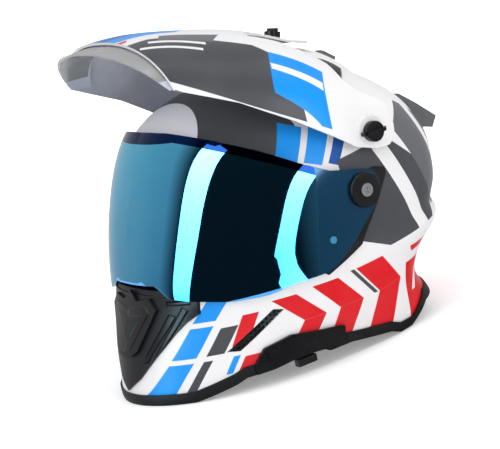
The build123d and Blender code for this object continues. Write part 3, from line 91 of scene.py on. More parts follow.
# %% [markdown]
# ## Small builders for shader trees
# The same few steps come up in every material: a sum, a mask, a mix. Short functions keep each material
# readable, and shared effects become node groups, so that one change reaches every piece.


# %% Shader helpers
def calculate(tree, operation, *values, clamp=False):
    """A math node. Each value is a number or a socket."""
    node = tree.nodes.new("ShaderNodeMath")
    node.operation = operation
    node.use_clamp = clamp
    for socket, value in zip(node.inputs, values):
        if isinstance(value, (int, float)):
            socket.default_value = value
        else:
            tree.links.new(value, socket)
    return node.outputs[0]


def mix_colours(tree, share, first, second):
    """A colour mix. The share is a socket or a number, the colours are sockets or three numbers."""
    node = tree.nodes.new("ShaderNodeMix")
    node.data_type = "RGBA"
    for socket, value in ((node.inputs[0], share), (node.inputs[6], first), (node.inputs[7], second)):
        if isinstance(value, (int, float)):
            socket.default_value = value
        elif isinstance(value, tuple):
            socket.default_value = (*value, 1.0)
        else:
            tree.links.new(value, socket)
    return node.outputs[2]


def remap(tree, value, low_in, high_in, low_out, high_out):
    """A clamped map range."""
    node = tree.nodes.new("ShaderNodeMapRange")
    tree.links.new(value, node.inputs[0])
    for socket, number in zip(node.inputs[1:5], (low_in, high_in, low_out, high_out)):
        socket.default_value = number
    return node.outputs[0]


def noise(tree, vector, scale, detail=4.0, roughness=0.55):
    """A noise texture's value."""
    node = tree.nodes.new("ShaderNodeTexNoise")
    tree.links.new(vector, node.inputs["Vector"])
    node.inputs["Scale"].default_value = scale
    node.inputs["Detail"].default_value = detail
    node.inputs["Roughness"].default_value = roughness
    return node.outputs["Fac"]


def shader_group(name, inputs, outputs):
    """An empty shader group with its sockets, and its input and output nodes."""
    group = bpy.data.node_groups.new(name, "ShaderNodeTree")
    for socket_name, kind in inputs:
        group.interface.new_socket(socket_name, in_out="INPUT", socket_type=kind)
    for socket_name, kind in outputs:
        group.interface.new_socket(socket_name, in_out="OUTPUT", socket_type=kind)
    return group, group.nodes.new("NodeGroupInput"), group.nodes.new("NodeGroupOutput")


def grey(tree, tone):
    """A colour whose three channels are all one socket's value."""
    node = tree.nodes.new("ShaderNodeCombineColor")
    for channel in range(3):
        tree.links.new(tone, node.inputs[channel])
    return node.outputs[0]


def use_group(tree, group, **values):
    """A node that uses a group, with its inputs linked or set."""
    node = tree.nodes.new("ShaderNodeGroup")
    node.node_tree = group
    for socket_name, value in values.items():
        if isinstance(value, (int, float)):
            node.inputs[socket_name].default_value = value
        else:
            tree.links.new(value, node.inputs[socket_name])
    return node.outputs


def new_material(name):
    """A material with its tree, its Principled shader and its object coordinates."""
    material = bpy.data.materials.new(name)
    material.use_nodes = True
    tree = material.node_tree
    shader = tree.nodes["Principled BSDF"]
    place = tree.nodes.new("ShaderNodeTexCoord").outputs["Object"]
    return material, tree, shader, place


def add_bump(tree, shader, height, distance, strength=1.0):
    """A height turned into a normal, in metres."""
    node = tree.nodes.new("ShaderNodeBump")
    node.inputs["Distance"].default_value = distance
    node.inputs["Strength"].default_value = strength
    tree.links.new(height, node.inputs["Height"])
    tree.links.new(node.outputs["Normal"], shader.inputs["Normal"])


print("helpers ready")

# %% [markdown]
# ## Shared surface effects
# Gloss paint is never a perfect mirror: the coat has a faint ripple and a few cloudy, dusty patches.
# Moulded black plastic has a fine spark-eroded grain. Cloth has a weave. Each is one group.

# %% Surface groups
paint_wear, wear_in, wear_out = shader_group(
    "paint_wear",
    [("Place", "NodeSocketVector")],
    [("Cloud", "NodeSocketFloat"), ("Ripple", "NodeSocketFloat"), ("Rough", "NodeSocketFloat")],
)
cloud = noise(paint_wear, wear_in.outputs["Place"], 14.0)
ripple = noise(paint_wear, wear_in.outputs["Place"], 260.0, detail=2.0)
specks = noise(paint_wear, wear_in.outputs["Place"], 900.0, detail=2.0)
speck_mask = remap(paint_wear, specks, 0.68, 0.74, 0.0, 1.0)
rough_base = remap(paint_wear, cloud, 0.35, 0.75, 0.05, 0.11)
rough_sum = calculate(paint_wear, "MULTIPLY_ADD", speck_mask, 0.12, rough_base)
paint_wear.links.new(cloud, wear_out.inputs["Cloud"])
paint_wear.links.new(ripple, wear_out.inputs["Ripple"])
paint_wear.links.new(rough_sum, wear_out.inputs["Rough"])

mould_grain, grain_in, grain_out = shader_group(
    "mould_grain",
    [("Place", "NodeSocketVector")],
    [("Grain", "NodeSocketFloat"), ("Patch", "NodeSocketFloat"), ("Rough", "NodeSocketFloat")],
)
grain = noise(mould_grain, grain_in.outputs["Place"], 1500.0, detail=3.0, roughness=0.7)
patch = noise(mould_grain, grain_in.outputs["Place"], 30.0)
grain_rough = remap(mould_grain, patch, 0.3, 0.7, 0.34, 0.50)
mould_grain.links.new(grain, grain_out.inputs["Grain"])
mould_grain.links.new(patch, grain_out.inputs["Patch"])
mould_grain.links.new(grain_rough, grain_out.inputs["Rough"])

cloth_weave, weave_in, weave_out = shader_group(
    "cloth_weave",
    [("Place", "NodeSocketVector"), ("Pitch", "NodeSocketFloat")],
    [("Height", "NodeSocketFloat"), ("Shade", "NodeSocketFloat")],
)
split = cloth_weave.nodes.new("ShaderNodeSeparateXYZ")
cloth_weave.links.new(weave_in.outputs["Place"], split.inputs[0])
across_sum = calculate(cloth_weave, "ADD", split.outputs[0], split.outputs[2])
along_sum = calculate(cloth_weave, "ADD", split.outputs[1], split.outputs[2])
across_wave = calculate(
    cloth_weave, "SINE", calculate(cloth_weave, "MULTIPLY", across_sum, weave_in.outputs["Pitch"])
)
along_wave = calculate(
    cloth_weave, "SINE", calculate(cloth_weave, "MULTIPLY", along_sum, weave_in.outputs["Pitch"])
)
weave_height = calculate(cloth_weave, "MULTIPLY", across_wave, along_wave)
fuzz = noise(cloth_weave, weave_in.outputs["Place"], 700.0)
weave_total = calculate(cloth_weave, "MULTIPLY_ADD", weave_height, 0.5, fuzz)
cloth_weave.links.new(weave_total, weave_out.inputs["Height"])
cloth_weave.links.new(remap(cloth_weave, weave_total, 0.0, 1.0, 0.75, 1.2), weave_out.inputs["Shade"])
print("groups:", [group.name for group in bpy.data.node_groups])

# %% [markdown]
# ## Paint shapes
# The livery is a generic one: slanted bars and shards in blue, red and greys over white. Each shape is a
# convex outline in millimetres, seen from the side as (fore-and-aft, height) or from above as
# (across, fore-and-aft). Straight edges are worked out in the shader rather than drawn in a picture, so
# they stay sharp at any size. Where two shapes overlap, the later one in the list covers the earlier.

# %% Paint colours and outlines
WHITE = (0.76, 0.755, 0.76)
DARK_GREY = (0.062, 0.064, 0.072)
MID_GREY = (0.12, 0.125, 0.135)
LAVENDER = (0.80, 0.79, 0.84)
BLUE = (0.004, 0.27, 0.78)
DEEP_BLUE = (0.003, 0.08, 0.34)
RED = (0.64, 0.005, 0.010)
METRE = 0.001

shell_side_shapes = [
    (DARK_GREY, [(-170, 170), (-60, 176), (-24, 170), (-12, 200), (-24, 245), (-170, 245)]),
    (LAVENDER, [(-108, 196), (-88, 196), (-54, 240), (-86, 240)]),
    (BLUE, [(-42, 176), (-26, 170), (-8, 196), (-24, 204)]),
    (BLUE, [(-20, 170), (-6, 164), (12, 188), (-2, 196)]),
    (DEEP_BLUE, [(0, 164), (8, 160), (24, 180), (17, 186)]),
    (DARK_GREY, [(8, 164), (60, 170), (118, 118), (104, 86), (40, 82), (4, 98)]),
    (WHITE, [(38, 176), (54, 176), (96, 80), (80, 80)]),
    (MID_GREY, [(74, 172), (96, 190), (158, 150), (158, 96), (112, 94)]),
    (WHITE, [(100, 196), (108, 196), (148, 92), (140, 92)]),
    (DARK_GREY, [(122, 178), (160, 160), (160, 112), (146, 116)]),
    (BLUE, [(-164, 8), (-150, 8), (-134, 32), (-148, 32)]),
    (BLUE, [(-146, 36), (-132, 36), (-116, 60), (-130, 60)]),
    (BLUE, [(-128, 64), (-114, 64), (-102, 82), (-116, 82)]),
    (DARK_GREY, [(-144, 8), (-138, 8), (-122, 32), (-128, 32)]),
    (DARK_GREY, [(-126, 36), (-114, 36), (-100, 57), (-112, 57)]),
    (BLUE, [(-116, 18), (-111, 18), (-103, 32), (-108, 32)]),
    (MID_GREY, [(-148, 64), (-142, 64), (-134, 76), (-140, 76)]),
    (RED, [(-108, 40), (-96, 40), (-84, 64), (-96, 64)]),
    (RED, [(-112, 10), (-94, 10), (-82, 30), (-100, 30)]),
    (RED, [(-74, 70), (-54, 70), (-30, 46), (-50, 46)]),
    (RED, [(-50, 46), (-30, 46), (-46, 24), (-66, 24)]),
    (RED, [(-40, 72), (-16, 72), (8, 46), (-16, 46)]),
    (RED, [(-16, 46), (8, 46), (-8, 16), (-32, 16)]),
    (RED, [(2, 74), (30, 76), (54, 48), (26, 46)]),
    (RED, [(26, 46), (54, 48), (38, 10), (10, 10)]),
    (DARK_GREY, [(-4, 74), (0, 74), (24, 46), (20, 46)]),
    (RED, [(62, 0), (130, 0), (130, 58), (62, 58)]),
    (RED, [(70, 66), (130, 66), (130, 72), (66, 72)]),
    (WHITE, [(70, 30), (76, 30), (96, 58), (90, 58)]),
]
peak_top_shapes = [
    (DARK_GREY, [(48, -170), (130, -170), (130, -18), (98, -4), (74, -22), (44, -96)]),
    (MID_GREY, [(40, -84), (52, -92), (66, -52), (50, -36)]),
    (WHITE, [(50, -100), (54, -102), (70, -60), (66, -58)]),
    (WHITE, [(58, -112), (61, -114), (78, -68), (75, -66)]),
    (BLUE, [(0, -170), (24, -170), (30, -64), (0, -34)]),
    (DEEP_BLUE, [(0, -170), (6, -170), (8, -92), (0, -84)]),
    (RED, [(30, -138), (38, -138), (36, -112), (30, -108)]),
    (BLUE, [(84, -14), (108, -30), (122, 6), (100, 22)]),
    (WHITE, [(94, -20), (98, -22), (112, 12), (108, 15)]),
    (DARK_GREY, [(0, -24), (12, -32), (22, 12), (0, 30)]),
]
peak_side_shapes = [
    (WHITE, [(-125, 264), (24, 174), (24, 180), (-125, 270)]),
]
print("outlines:", len(shell_side_shapes), "on the shell,", len(peak_top_shapes), "on the peak")


# %% Masks inside outlines
EDGE_SHARPNESS = 6000.0


def shape_mask(tree, along, up, outline, sharpness=EDGE_SHARPNESS):
    """One inside a convex outline and zero outside, from two coordinates in metres."""
    joined = tree.nodes.new("ShaderNodeCombineXYZ")
    tree.links.new(along, joined.inputs[0])
    tree.links.new(up, joined.inputs[1])
    joined.inputs[2].default_value = 1.0
    area = sum(
        first[0] * second[1] - second[0] * first[1]
        for first, second in zip(outline, outline[1:] + outline[:1])
    )
    corners = outline if area > 0 else outline[::-1]
    inside = None
    for first, second in zip(corners, corners[1:] + corners[:1]):
        edge = Vector((second[0] - first[0], second[1] - first[1]))
        edge.normalize()
        offset = (edge.y * first[0] - edge.x * first[1]) * METRE
        node = tree.nodes.new("ShaderNodeVectorMath")
        node.operation = "DOT_PRODUCT"
        tree.links.new(joined.outputs[0], node.inputs[0])
        node.inputs[1].default_value = (-edge.y, edge.x, offset)
        distance = node.outputs["Value"]
        inside = distance if inside is None else calculate(tree, "MINIMUM", inside, distance)
    return calculate(tree, "MULTIPLY_ADD", inside, sharpness, 0.5, clamp=True)


def paint_shapes(tree, along, up, shapes, colour):
    """A colour with all the shapes laid over it, in order."""
    for shape_colour, outline in shapes:
        colour = mix_colours(tree, shape_mask(tree, along, up, outline), colour, shape_colour)
    return colour


def helmet_axes(tree, place):
    """The distance from the middle plane, the fore-and-aft place and the height."""
    parts = tree.nodes.new("ShaderNodeSeparateXYZ")
    tree.links.new(place, parts.inputs[0])
    return calculate(tree, "ABSOLUTE", parts.outputs[0]), parts.outputs[1], parts.outputs[2]


# %% [markdown]
# ## Gloss paint
# A real shell is painted in its colours and then lacquered. A picture wrapped round it would blur close to
# and need a flat map of the surface. The outlines are laid over white in the shader instead, under a thin
# clear coat with a little dust and ripple.

# %% Gloss paint
DUST = (0.5, 0.5, 0.52)


def painted_material(name, side_shapes, top_shapes):
    """Gloss paint with shapes seen from the side and from above, under a clear coat."""
    material, tree, shader, place = new_material(name)
    across, along, up = helmet_axes(tree, place)
    wear = use_group(tree, paint_wear, Place=place)
    colour = WHITE
    if top_shapes:
        colour = paint_shapes(tree, across, along, top_shapes, colour)
    if side_shapes:
        colour = paint_shapes(tree, along, up, side_shapes, colour)
    dusted = mix_colours(tree, remap(tree, wear["Cloud"], 0.4, 0.8, 0.0, 0.05), colour, DUST)
    tree.links.new(dusted, shader.inputs["Base Color"])
    tree.links.new(remap(tree, wear["Rough"], 0.05, 0.23, 0.30, 0.46), shader.inputs["Roughness"])
    shader.inputs["Specular IOR Level"].default_value = 0.14
    shader.inputs["Coat Weight"].default_value = 0.03
    shader.inputs["Coat Roughness"].default_value = 0.05
    add_bump(tree, shader, wear["Ripple"], 0.00002, 0.35)
    return material


shell_paint = painted_material("shell_paint", shell_side_shapes, [])
peak_paint = painted_material("peak_paint", peak_side_shapes, peak_top_shapes)
white_paint = painted_material("white_paint", [], [])
print("paints:", shell_paint.name, peak_paint.name, white_paint.name)

# %% [markdown]
# ## Plain materials
# Black mouldings, rubber, metal and the coloured plastics are made by one function, with a colour, a
# gloss and a grain for each. The roughness changes over each piece, as it does on a handled helmet.


# %% Mouldings, rubber and metal
def moulded_material(name, colour, worn_colour, low_rough, high_rough, bump=0.00004, metallic=0.0):
    """Plastic or rubber with a spark-eroded grain."""
    material, tree, shader, place = new_material(name)
    surface = use_group(tree, mould_grain, Place=place)
    tint = mix_colours(tree, remap(tree, surface["Patch"], 0.35, 0.7, 0.0, 1.0), colour, worn_colour)
    tree.links.new(tint, shader.inputs["Base Color"])
    rough = remap(tree, surface["Rough"], 0.34, 0.50, low_rough, high_rough)
    tree.links.new(rough, shader.inputs["Roughness"])
    shader.inputs["Metallic"].default_value = metallic
    shader.inputs["Specular IOR Level"].default_value = 0.25
    add_bump(tree, shader, surface["Grain"], bump, 0.6)
    return material


black_satin = moulded_material("black_satin", (0.006, 0.006, 0.007), (0.012, 0.012, 0.013), 0.24, 0.36)
black_rubber = moulded_material("black_rubber", (0.006, 0.006, 0.006), (0.012, 0.012, 0.012), 0.42, 0.58)
shell_inside = moulded_material("shell_inside", (0.014, 0.014, 0.015), (0.024, 0.024, 0.025), 0.5, 0.7)
grey_satin = moulded_material("grey_satin", (0.10, 0.105, 0.115), (0.13, 0.135, 0.145), 0.28, 0.42)
peak_underside = moulded_material("peak_underside", (0.42, 0.43, 0.48), (0.50, 0.51, 0.56), 0.35, 0.5)
red_plastic = moulded_material("red_plastic", (0.55, 0.02, 0.02), (0.62, 0.03, 0.03), 0.25, 0.4)
METAL = {"bump": 0.00002, "metallic": 1.0}
steel = moulded_material("steel", (0.60, 0.60, 0.62), (0.50, 0.50, 0.52), 0.18, 0.32, **METAL)
dark_chrome = moulded_material("dark_chrome", (0.20, 0.20, 0.21), (0.30, 0.30, 0.31), 0.2, 0.35, **METAL)
print("steel and chrome:", steel.name, dark_chrome.name)

# %% [markdown]
# ## Chin vent moulding
# The real vent cover has stepped facets. Here the moulding is smooth and the steps are bump in its
# material, each an outline seen from the front. Steps cut in the mesh would be truer and would show in the
# outline too. Bump is the quicker way, and does at the size of the picture.


# %% Faceted moulding
FACET_SHARPNESS = 700.0
FACET_DEPTH = 0.0012
GRAIN_SHARE = 0.03


def faceted_material(name, colour, facets):
    """Black moulding whose facets, outlines seen from the front with a share of the depth, are bump."""
    material, tree, shader, place = new_material(name)
    across, _, up = helmet_axes(tree, place)
    surface = use_group(tree, mould_grain, Place=place)
    lighter = tuple(1.6 * channel for channel in colour)
    tree.links.new(mix_colours(tree, surface["Patch"], colour, lighter), shader.inputs["Base Color"])
    height = calculate(tree, "MULTIPLY", surface["Grain"], GRAIN_SHARE)
    facet_sum = None
    for step, outline in facets:
        mask = shape_mask(tree, across, up, outline, FACET_SHARPNESS)
        height = calculate(tree, "MULTIPLY_ADD", mask, step, height)
        facet_sum = mask if facet_sum is None else calculate(tree, "MAXIMUM", facet_sum, mask)
    tree.links.new(remap(tree, facet_sum, 0.0, 1.0, 0.34, 0.24), shader.inputs["Roughness"])
    shader.inputs["Specular IOR Level"].default_value = 0.25
    add_bump(tree, shader, height, FACET_DEPTH)
    return material


vent_facets = [
    (1.0, [(0, 44), (8, 46), (30, 76), (24, 82), (0, 78)]),
    (0.8, [(0, 54), (5, 56), (20, 74), (0, 72)]),
    (1.0, [(22, 36), (27, 36), (54, 72), (48, 74)]),
    (1.0, [(34, 40), (38, 41), (64, 76), (60, 79)]),
    (-1.0, [(46, 81), (66, 81), (66, 84), (46, 84)]),
]
vent_satin = faceted_material("vent_satin", (0.006, 0.006, 0.007), vent_facets)
print("vent facets:", len(vent_facets))

# %% [markdown]
# ## Foam and cloth
# The liner that takes an impact is expanded bead foam, whose cells meet in fine seams, so a Voronoi
# texture's distance to an edge draws it. The comfort pads, the curtain and the strap are cloth: crossed
# sine waves make a weave at the pitch of each without any picture.


# %% Foam and cloth
def bead_foam_material(name, colour):
    """Expanded bead foam: close-packed cells with fine dark seams."""
    material, tree, shader, place = new_material(name)
    cells = tree.nodes.new("ShaderNodeTexVoronoi")
    cells.feature = "DISTANCE_TO_EDGE"
    cells.inputs["Scale"].default_value = 320.0
    tree.links.new(place, cells.inputs["Vector"])
    seam = remap(tree, cells.outputs["Distance"], 0.0, 0.12, 0.0, 1.0)
    darker = tuple(channel * 0.5 for channel in colour)
    tree.links.new(mix_colours(tree, seam, darker, colour), shader.inputs["Base Color"])
    tree.links.new(remap(tree, seam, 0.0, 1.0, 0.85, 0.6), shader.inputs["Roughness"])
    add_bump(tree, shader, seam, 0.00025, 0.5)
    return material


def cloth_material(name, colour, pitch):
    """Knitted or woven cloth."""
    material, tree, shader, place = new_material(name)
    weave = use_group(tree, cloth_weave, Place=place, Pitch=pitch)
    lighter = tuple(channel * 1.6 for channel in colour)
    share = remap(tree, weave["Shade"], 0.75, 1.2, 0.0, 1.0)
    tree.links.new(mix_colours(tree, share, colour, lighter), shader.inputs["Base Color"])
    tree.links.new(remap(tree, weave["Shade"], 0.75, 1.2, 0.95, 0.8), shader.inputs["Roughness"])
    add_bump(tree, shader, weave["Height"], 0.0003, 0.7)
    return material


foam_black = bead_foam_material("foam_black", (0.045, 0.045, 0.048))
pad_cloth = cloth_material("pad_cloth", (0.035, 0.036, 0.040), 3200.0)
curtain_cloth = cloth_material("curtain_cloth", (0.020, 0.020, 0.022), 2600.0)
strap_web = cloth_material("strap_web", (0.014, 0.014, 0.015), 4200.0)
print("cloths:", pad_cloth.name, curtain_cloth.name, strap_web.name)

# %% [markdown]
# ## Mirror-blue and smoked plastics
# The shield has a vacuum-deposited mirror: it reflects like metal, deep blue when seen square on and
# brighter towards its edges, so its colour follows the facing angle. Its colour is also painted brighter
# towards its top by height, a painted reflection of the light above. The extender and the inner visor are
# smoked and let some light through.

# %% Shield colours and outlines
MIRROR_DEEP = (0.055, 0.27, 0.50)
# The bright mirror colour is reached towards the edges by the facing angle, and towards the top as a
# painted reflection.
MIRROR_BRIGHT = (0.125, 0.55, 0.82)
SHIELD_BAND = (0.004, 0.020, 0.085)
SHIELD_TAB = (0.005, 0.050, 0.110)
SHIELD_EDGE = (0.10, 0.42, 0.90)
shield_band_shapes = [
    [(-175, 207), (-98, 207), (-98, 240), (-175, 240)],
    [(-101, 209), (-4, 151), (8, 166), (-90, 228)],
]
shield_tab_shapes = [[(-15, 172), (70, 172), (70, 60), (-40, 60)]]
shield_edge_shapes = [
    [(-110, 60), (-40, 60), (-40, 81), (-110, 79)],
    [(-175, 60), (-110, 60), (-110, 79), (-136, 85), (-175, 92)],
]
shield_notch_shapes = [
    [(0, 90), (21, 90), (21, 99.5), (0, 99.5)],
    [(17, 100), (22, 101), (46, 88.5), (42, 84)],
]


def any_mask(tree, along, up, outlines):
    """One inside any of several outlines."""
    mask = None
    for outline in outlines:
        one = shape_mask(tree, along, up, outline)
        mask = one if mask is None else calculate(tree, "MAXIMUM", mask, one)
    return mask


# %% Mirror blue
mirror_blue, tree, shader, place = new_material("mirror_blue")
across, along, up = helmet_axes(tree, place)
facing = tree.nodes.new("ShaderNodeLayerWeight")
facing.inputs["Blend"].default_value = 0.35
streaks = noise(tree, place, 8.0)
bent = calculate(tree, "MULTIPLY_ADD", streaks, 0.10, facing.outputs["Facing"])
# Painted reflection: the colour grows brighter with height, standing in for the light above that the top
# of the mirror reflects.
raised = calculate(tree, "MULTIPLY_ADD", up, 4.0, -0.62)
facing_and_painted_top_share = remap(tree, calculate(tree, "ADD", bent, raised), 0.05, 0.75, 0.0, 1.0)
tint = mix_colours(tree, facing_and_painted_top_share, MIRROR_DEEP, MIRROR_BRIGHT)
band = any_mask(tree, along, up, shield_band_shapes)
tab = any_mask(tree, along, up, shield_tab_shapes)
edge = calculate(
    tree,
    "MAXIMUM",
    any_mask(tree, along, up, shield_edge_shapes),
    any_mask(tree, across, up, shield_notch_shapes),
)
tint = mix_colours(tree, band, tint, SHIELD_BAND)
tint = mix_colours(tree, tab, tint, SHIELD_TAB)
tint = mix_colours(tree, edge, tint, SHIELD_EDGE)
tree.links.new(tint, shader.inputs["Base Color"])
unmirrored = calculate(tree, "MAXIMUM", calculate(tree, "MULTIPLY", tab, 0.55), edge)
tree.links.new(remap(tree, unmirrored, 0.0, 1.0, 1.0, 0.1), shader.inputs["Metallic"])
film = use_group(tree, paint_wear, Place=place)
film_rough = remap(tree, film["Rough"], 0.05, 0.23, 0.02, 0.06)
tree.links.new(calculate(tree, "MULTIPLY_ADD", tab, 0.12, film_rough), shader.inputs["Roughness"])
add_bump(tree, shader, film["Cloud"], 0.0001, 0.08)
print("mirror:", len(mirror_blue.node_tree.nodes), "nodes")


# %% Smoked and clear plastics
def tinted_clear_material(name, colour, alpha, low_rough, high_rough):
    """Tinted see-through plastic."""
    material, tree, shader, place = new_material(name)
    surface = use_group(tree, paint_wear, Place=place)
    clouded = remap(tree, surface["Cloud"], 0.3, 0.7, 0.0, 1.0)
    lighter = tuple(1.25 * channel for channel in colour)
    tree.links.new(mix_colours(tree, clouded, colour, lighter), shader.inputs["Base Color"])
    rough = remap(tree, surface["Rough"], 0.05, 0.23, low_rough, high_rough)
    tree.links.new(rough, shader.inputs["Roughness"])
    shader.inputs["Alpha"].default_value = alpha
    shader.inputs["Coat Weight"].default_value = 0.5
    return material


HAZE_DARK = (0.50, 0.51, 0.60)
HAZE_LIGHT = (0.58, 0.59, 0.68)
SMOKE_TIP = (0.36, 0.36, 0.36)
smoked_tip_shapes = [[(-150, 264), (-95, 262), (-95, 310), (-150, 310)]]

smoke_plastic, tree, shader, place = new_material("smoke_plastic")
_, along, up = helmet_axes(tree, place)
surface = use_group(tree, paint_wear, Place=place)
smoked = any_mask(tree, along, up, smoked_tip_shapes)
hazy = mix_colours(tree, remap(tree, surface["Cloud"], 0.3, 0.7, 0.0, 1.0), HAZE_DARK, HAZE_LIGHT)
tree.links.new(mix_colours(tree, smoked, hazy, SMOKE_TIP), shader.inputs["Base Color"])
tree.links.new(remap(tree, surface["Rough"], 0.05, 0.23, 0.20, 0.34), shader.inputs["Roughness"])
tree.links.new(remap(tree, smoked, 0.0, 1.0, 1.0, 0.72), shader.inputs["Alpha"])
add_bump(tree, shader, surface["Ripple"], 0.00002, 0.3)
visor_smoke = tinted_clear_material("visor_smoke", (0.02, 0.02, 0.022), 0.85, 0.05, 0.10)
clear_blue = tinted_clear_material("clear_blue", (0.04, 0.24, 0.40), 0.9, 0.06, 0.12)
print("smoked and clear:", smoke_plastic.name, visor_smoke.name, clear_blue.name)

# %% [markdown]
# ## Steady reflections
# Gloss shows every small wave of a surface. The real painted shell is one smooth moulding, but the mesh of
# this one has shallow waves and long thin triangles. Moving vertices would change its size, so only the
# shading normals are evened out: points are scattered over the surface, and each corner takes the mean
# direction of the points near it, leaving out those across an edge.


# %% Flowing normals
SAMPLES_PER_PIECE = 60000
SAMPLE_SEED = 1
FEWEST_SAMPLES = 8


def flow_normals(piece, reach, crease_degrees):
    """Give each corner the mean direction of the surface within reach, among faces turned much alike."""
    mesh = piece.data
    mesh.calc_loop_triangles()
    count = len(mesh.loop_triangles)
    corners = np.empty(count * 3, dtype=np.int64)
    mesh.loop_triangles.foreach_get("vertices", corners)
    places = np.empty(len(mesh.vertices) * 3)
    mesh.vertices.foreach_get("co", places)
    places = places.reshape(-1, 3)
    first, second, third = (places[corners.reshape(-1, 3)[:, k]] for k in range(3))
    crosses = np.cross(second - first, third - first)
    lengths = np.linalg.norm(crosses, axis=1)
    directions = crosses / np.maximum(lengths, 1e-15)[:, None]
    chance = np.random.default_rng(SAMPLE_SEED)
    picks = chance.choice(count, SAMPLES_PER_PIECE, p=lengths / lengths.sum())
    u, v = chance.random((2, SAMPLES_PER_PIECE))
    folded = u + v > 1.0
    u[folded], v[folded] = 1.0 - u[folded], 1.0 - v[folded]
    spots = (
        first[picks]
        + u[:, None] * (second[picks] - first[picks])
        + v[:, None] * (third[picks] - first[picks])
    )
    samples = KDTree(SAMPLES_PER_PIECE)
    for index, spot in enumerate(spots):
        samples.insert(spot, index)
    samples.balance()
    spot_directions = directions[picks]
    least = cos(radians(crease_degrees))
    corner_normals = [corner.vector.copy() for corner in mesh.corner_normals]
    loops_of_vertex = {}
    for face in mesh.polygons:
        for loop_index, vertex_index in zip(face.loop_indices, face.vertices):
            loops_of_vertex.setdefault(vertex_index, []).append((loop_index, face.index))
    face_directions = np.array([face.normal for face in mesh.polygons])
    for vertex_index, loops in loops_of_vertex.items():
        near = samples.find_range(places[vertex_index], reach)
        if len(near) < FEWEST_SAMPLES:
            continue
        found = spot_directions[[index for _, index, _ in near]]
        weights = 1.0 - (np.array([distance for _, _, distance in near]) / reach) ** 2
        faces = face_directions[[face_index for _, face_index in loops]]
        alike = (found @ faces.T > least) * weights[:, None]
        sums = alike.T @ found
        for (loop_index, _), total in zip(loops, sums):
            size = np.linalg.norm(total)
            if size > 1e-6:
                corner_normals[loop_index] = Vector(total / size)
    mesh.normals_split_custom_set(corner_normals)


print("samples over each painted piece:", SAMPLES_PER_PIECE)

# %% [markdown]
# ## A mirror without waves
# The shield is a mirror, and it shows even slow waves that paint hides: the edges of a reflected lamp
# wobble. A real shield is moulded in one polished tool. So its directions are fitted by a cubic in the
# place on the sheet, once for the outer side and once for the inner, and the fit is what shades it. The
# mesh itself keeps its waves.


# %% Polished normals
OUTWARD_SHARE = 0.6
HIGHEST_POWER = 3
DECIMETRES = 10.0


def polished_normals(piece, centre):
    """Fit one cubic flow of directions to a dished sheet, so that its mirror images run straight."""
    mesh = piece.data
    faces = mesh.polygons
    middles = np.array([face.center for face in faces])
    directions = np.array([face.normal for face in faces])
    areas = np.array([face.area for face in faces])
    outwards = middles - np.array(centre)
    outwards /= np.linalg.norm(outwards, axis=1)[:, None]
    turned = (directions * outwards).sum(axis=1)

    def terms(spots):
        x, y, z = (np.asarray(spots) - np.array(centre)).T * DECIMETRES
        x = np.abs(x)
        orders = range(HIGHEST_POWER + 1)
        powers = [(a, b, c) for a in orders for b in orders for c in orders if a + b + c <= HIGHEST_POWER]
        return np.stack([x**a * y**b * z**c for a, b, c in powers], axis=1)

    corner_normals = [corner.vector.copy() for corner in mesh.corner_normals]
    for sign in (1.0, -1.0):
        chosen = turned * sign > OUTWARD_SHARE
        mirrored = directions[chosen].copy()
        mirrored[:, 0] *= np.sign(middles[chosen, 0])
        weights = np.sqrt(areas[chosen])[:, None]
        fit = np.linalg.lstsq(terms(middles[chosen]) * weights, mirrored * weights, rcond=None)[0]
        for face_index in np.flatnonzero(chosen):
            face = faces[int(face_index)]
            spots = np.array([mesh.vertices[v].co for v in face.vertices])
            flows = terms(spots) @ fit
            flows[:, 0] *= np.sign(spots[:, 0] + 1e-9)
            for loop_index, flow in zip(face.loop_indices, flows):
                corner_normals[loop_index] = Vector(flow).normalized()
    mesh.normals_split_custom_set(corner_normals)


print("shield fit: powers up to", HIGHEST_POWER)

# %% [markdown]
# ## Smooth skins over the CAD solids
# The frame's meshes are loose triangles. A merged copy can be shaded smooth up to a crease angle, so
# moulded edges stay crisp and the skins flow. The copies keep every vertex in place.


# %% Copy, merge and shade
MERGE_DISTANCE = 1e-6


def smooth_copy(node_name, crease_degrees=32.0):
    """A merged, smoothly shaded copy that stands for a CAD node."""
    source = nodes[node_name]
    bpy.ops.object.select_all(action="DESELECT")
    piece = bpy.data.objects.new(node_name + "_skin", source.data.copy())
    bpy.context.scene.collection.objects.link(piece)
    bpy.context.view_layer.objects.active = piece
    piece.select_set(True)
    bpy.ops.object.mode_set(mode="EDIT")
    bpy.ops.mesh.select_all(action="SELECT")
    bpy.ops.mesh.remove_doubles(threshold=MERGE_DISTANCE)
    bpy.ops.object.mode_set(mode="OBJECT")
    if piece.data.has_custom_normals:
        bpy.ops.mesh.customdata_custom_splitnormals_clear()
    bpy.ops.object.shade_smooth_by_angle(angle=radians(crease_degrees))
    piece.data.materials.clear()
    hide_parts(node_name)
    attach(piece, source["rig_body"])
    bpy.ops.object.select_all(action="DESELECT")
    return piece


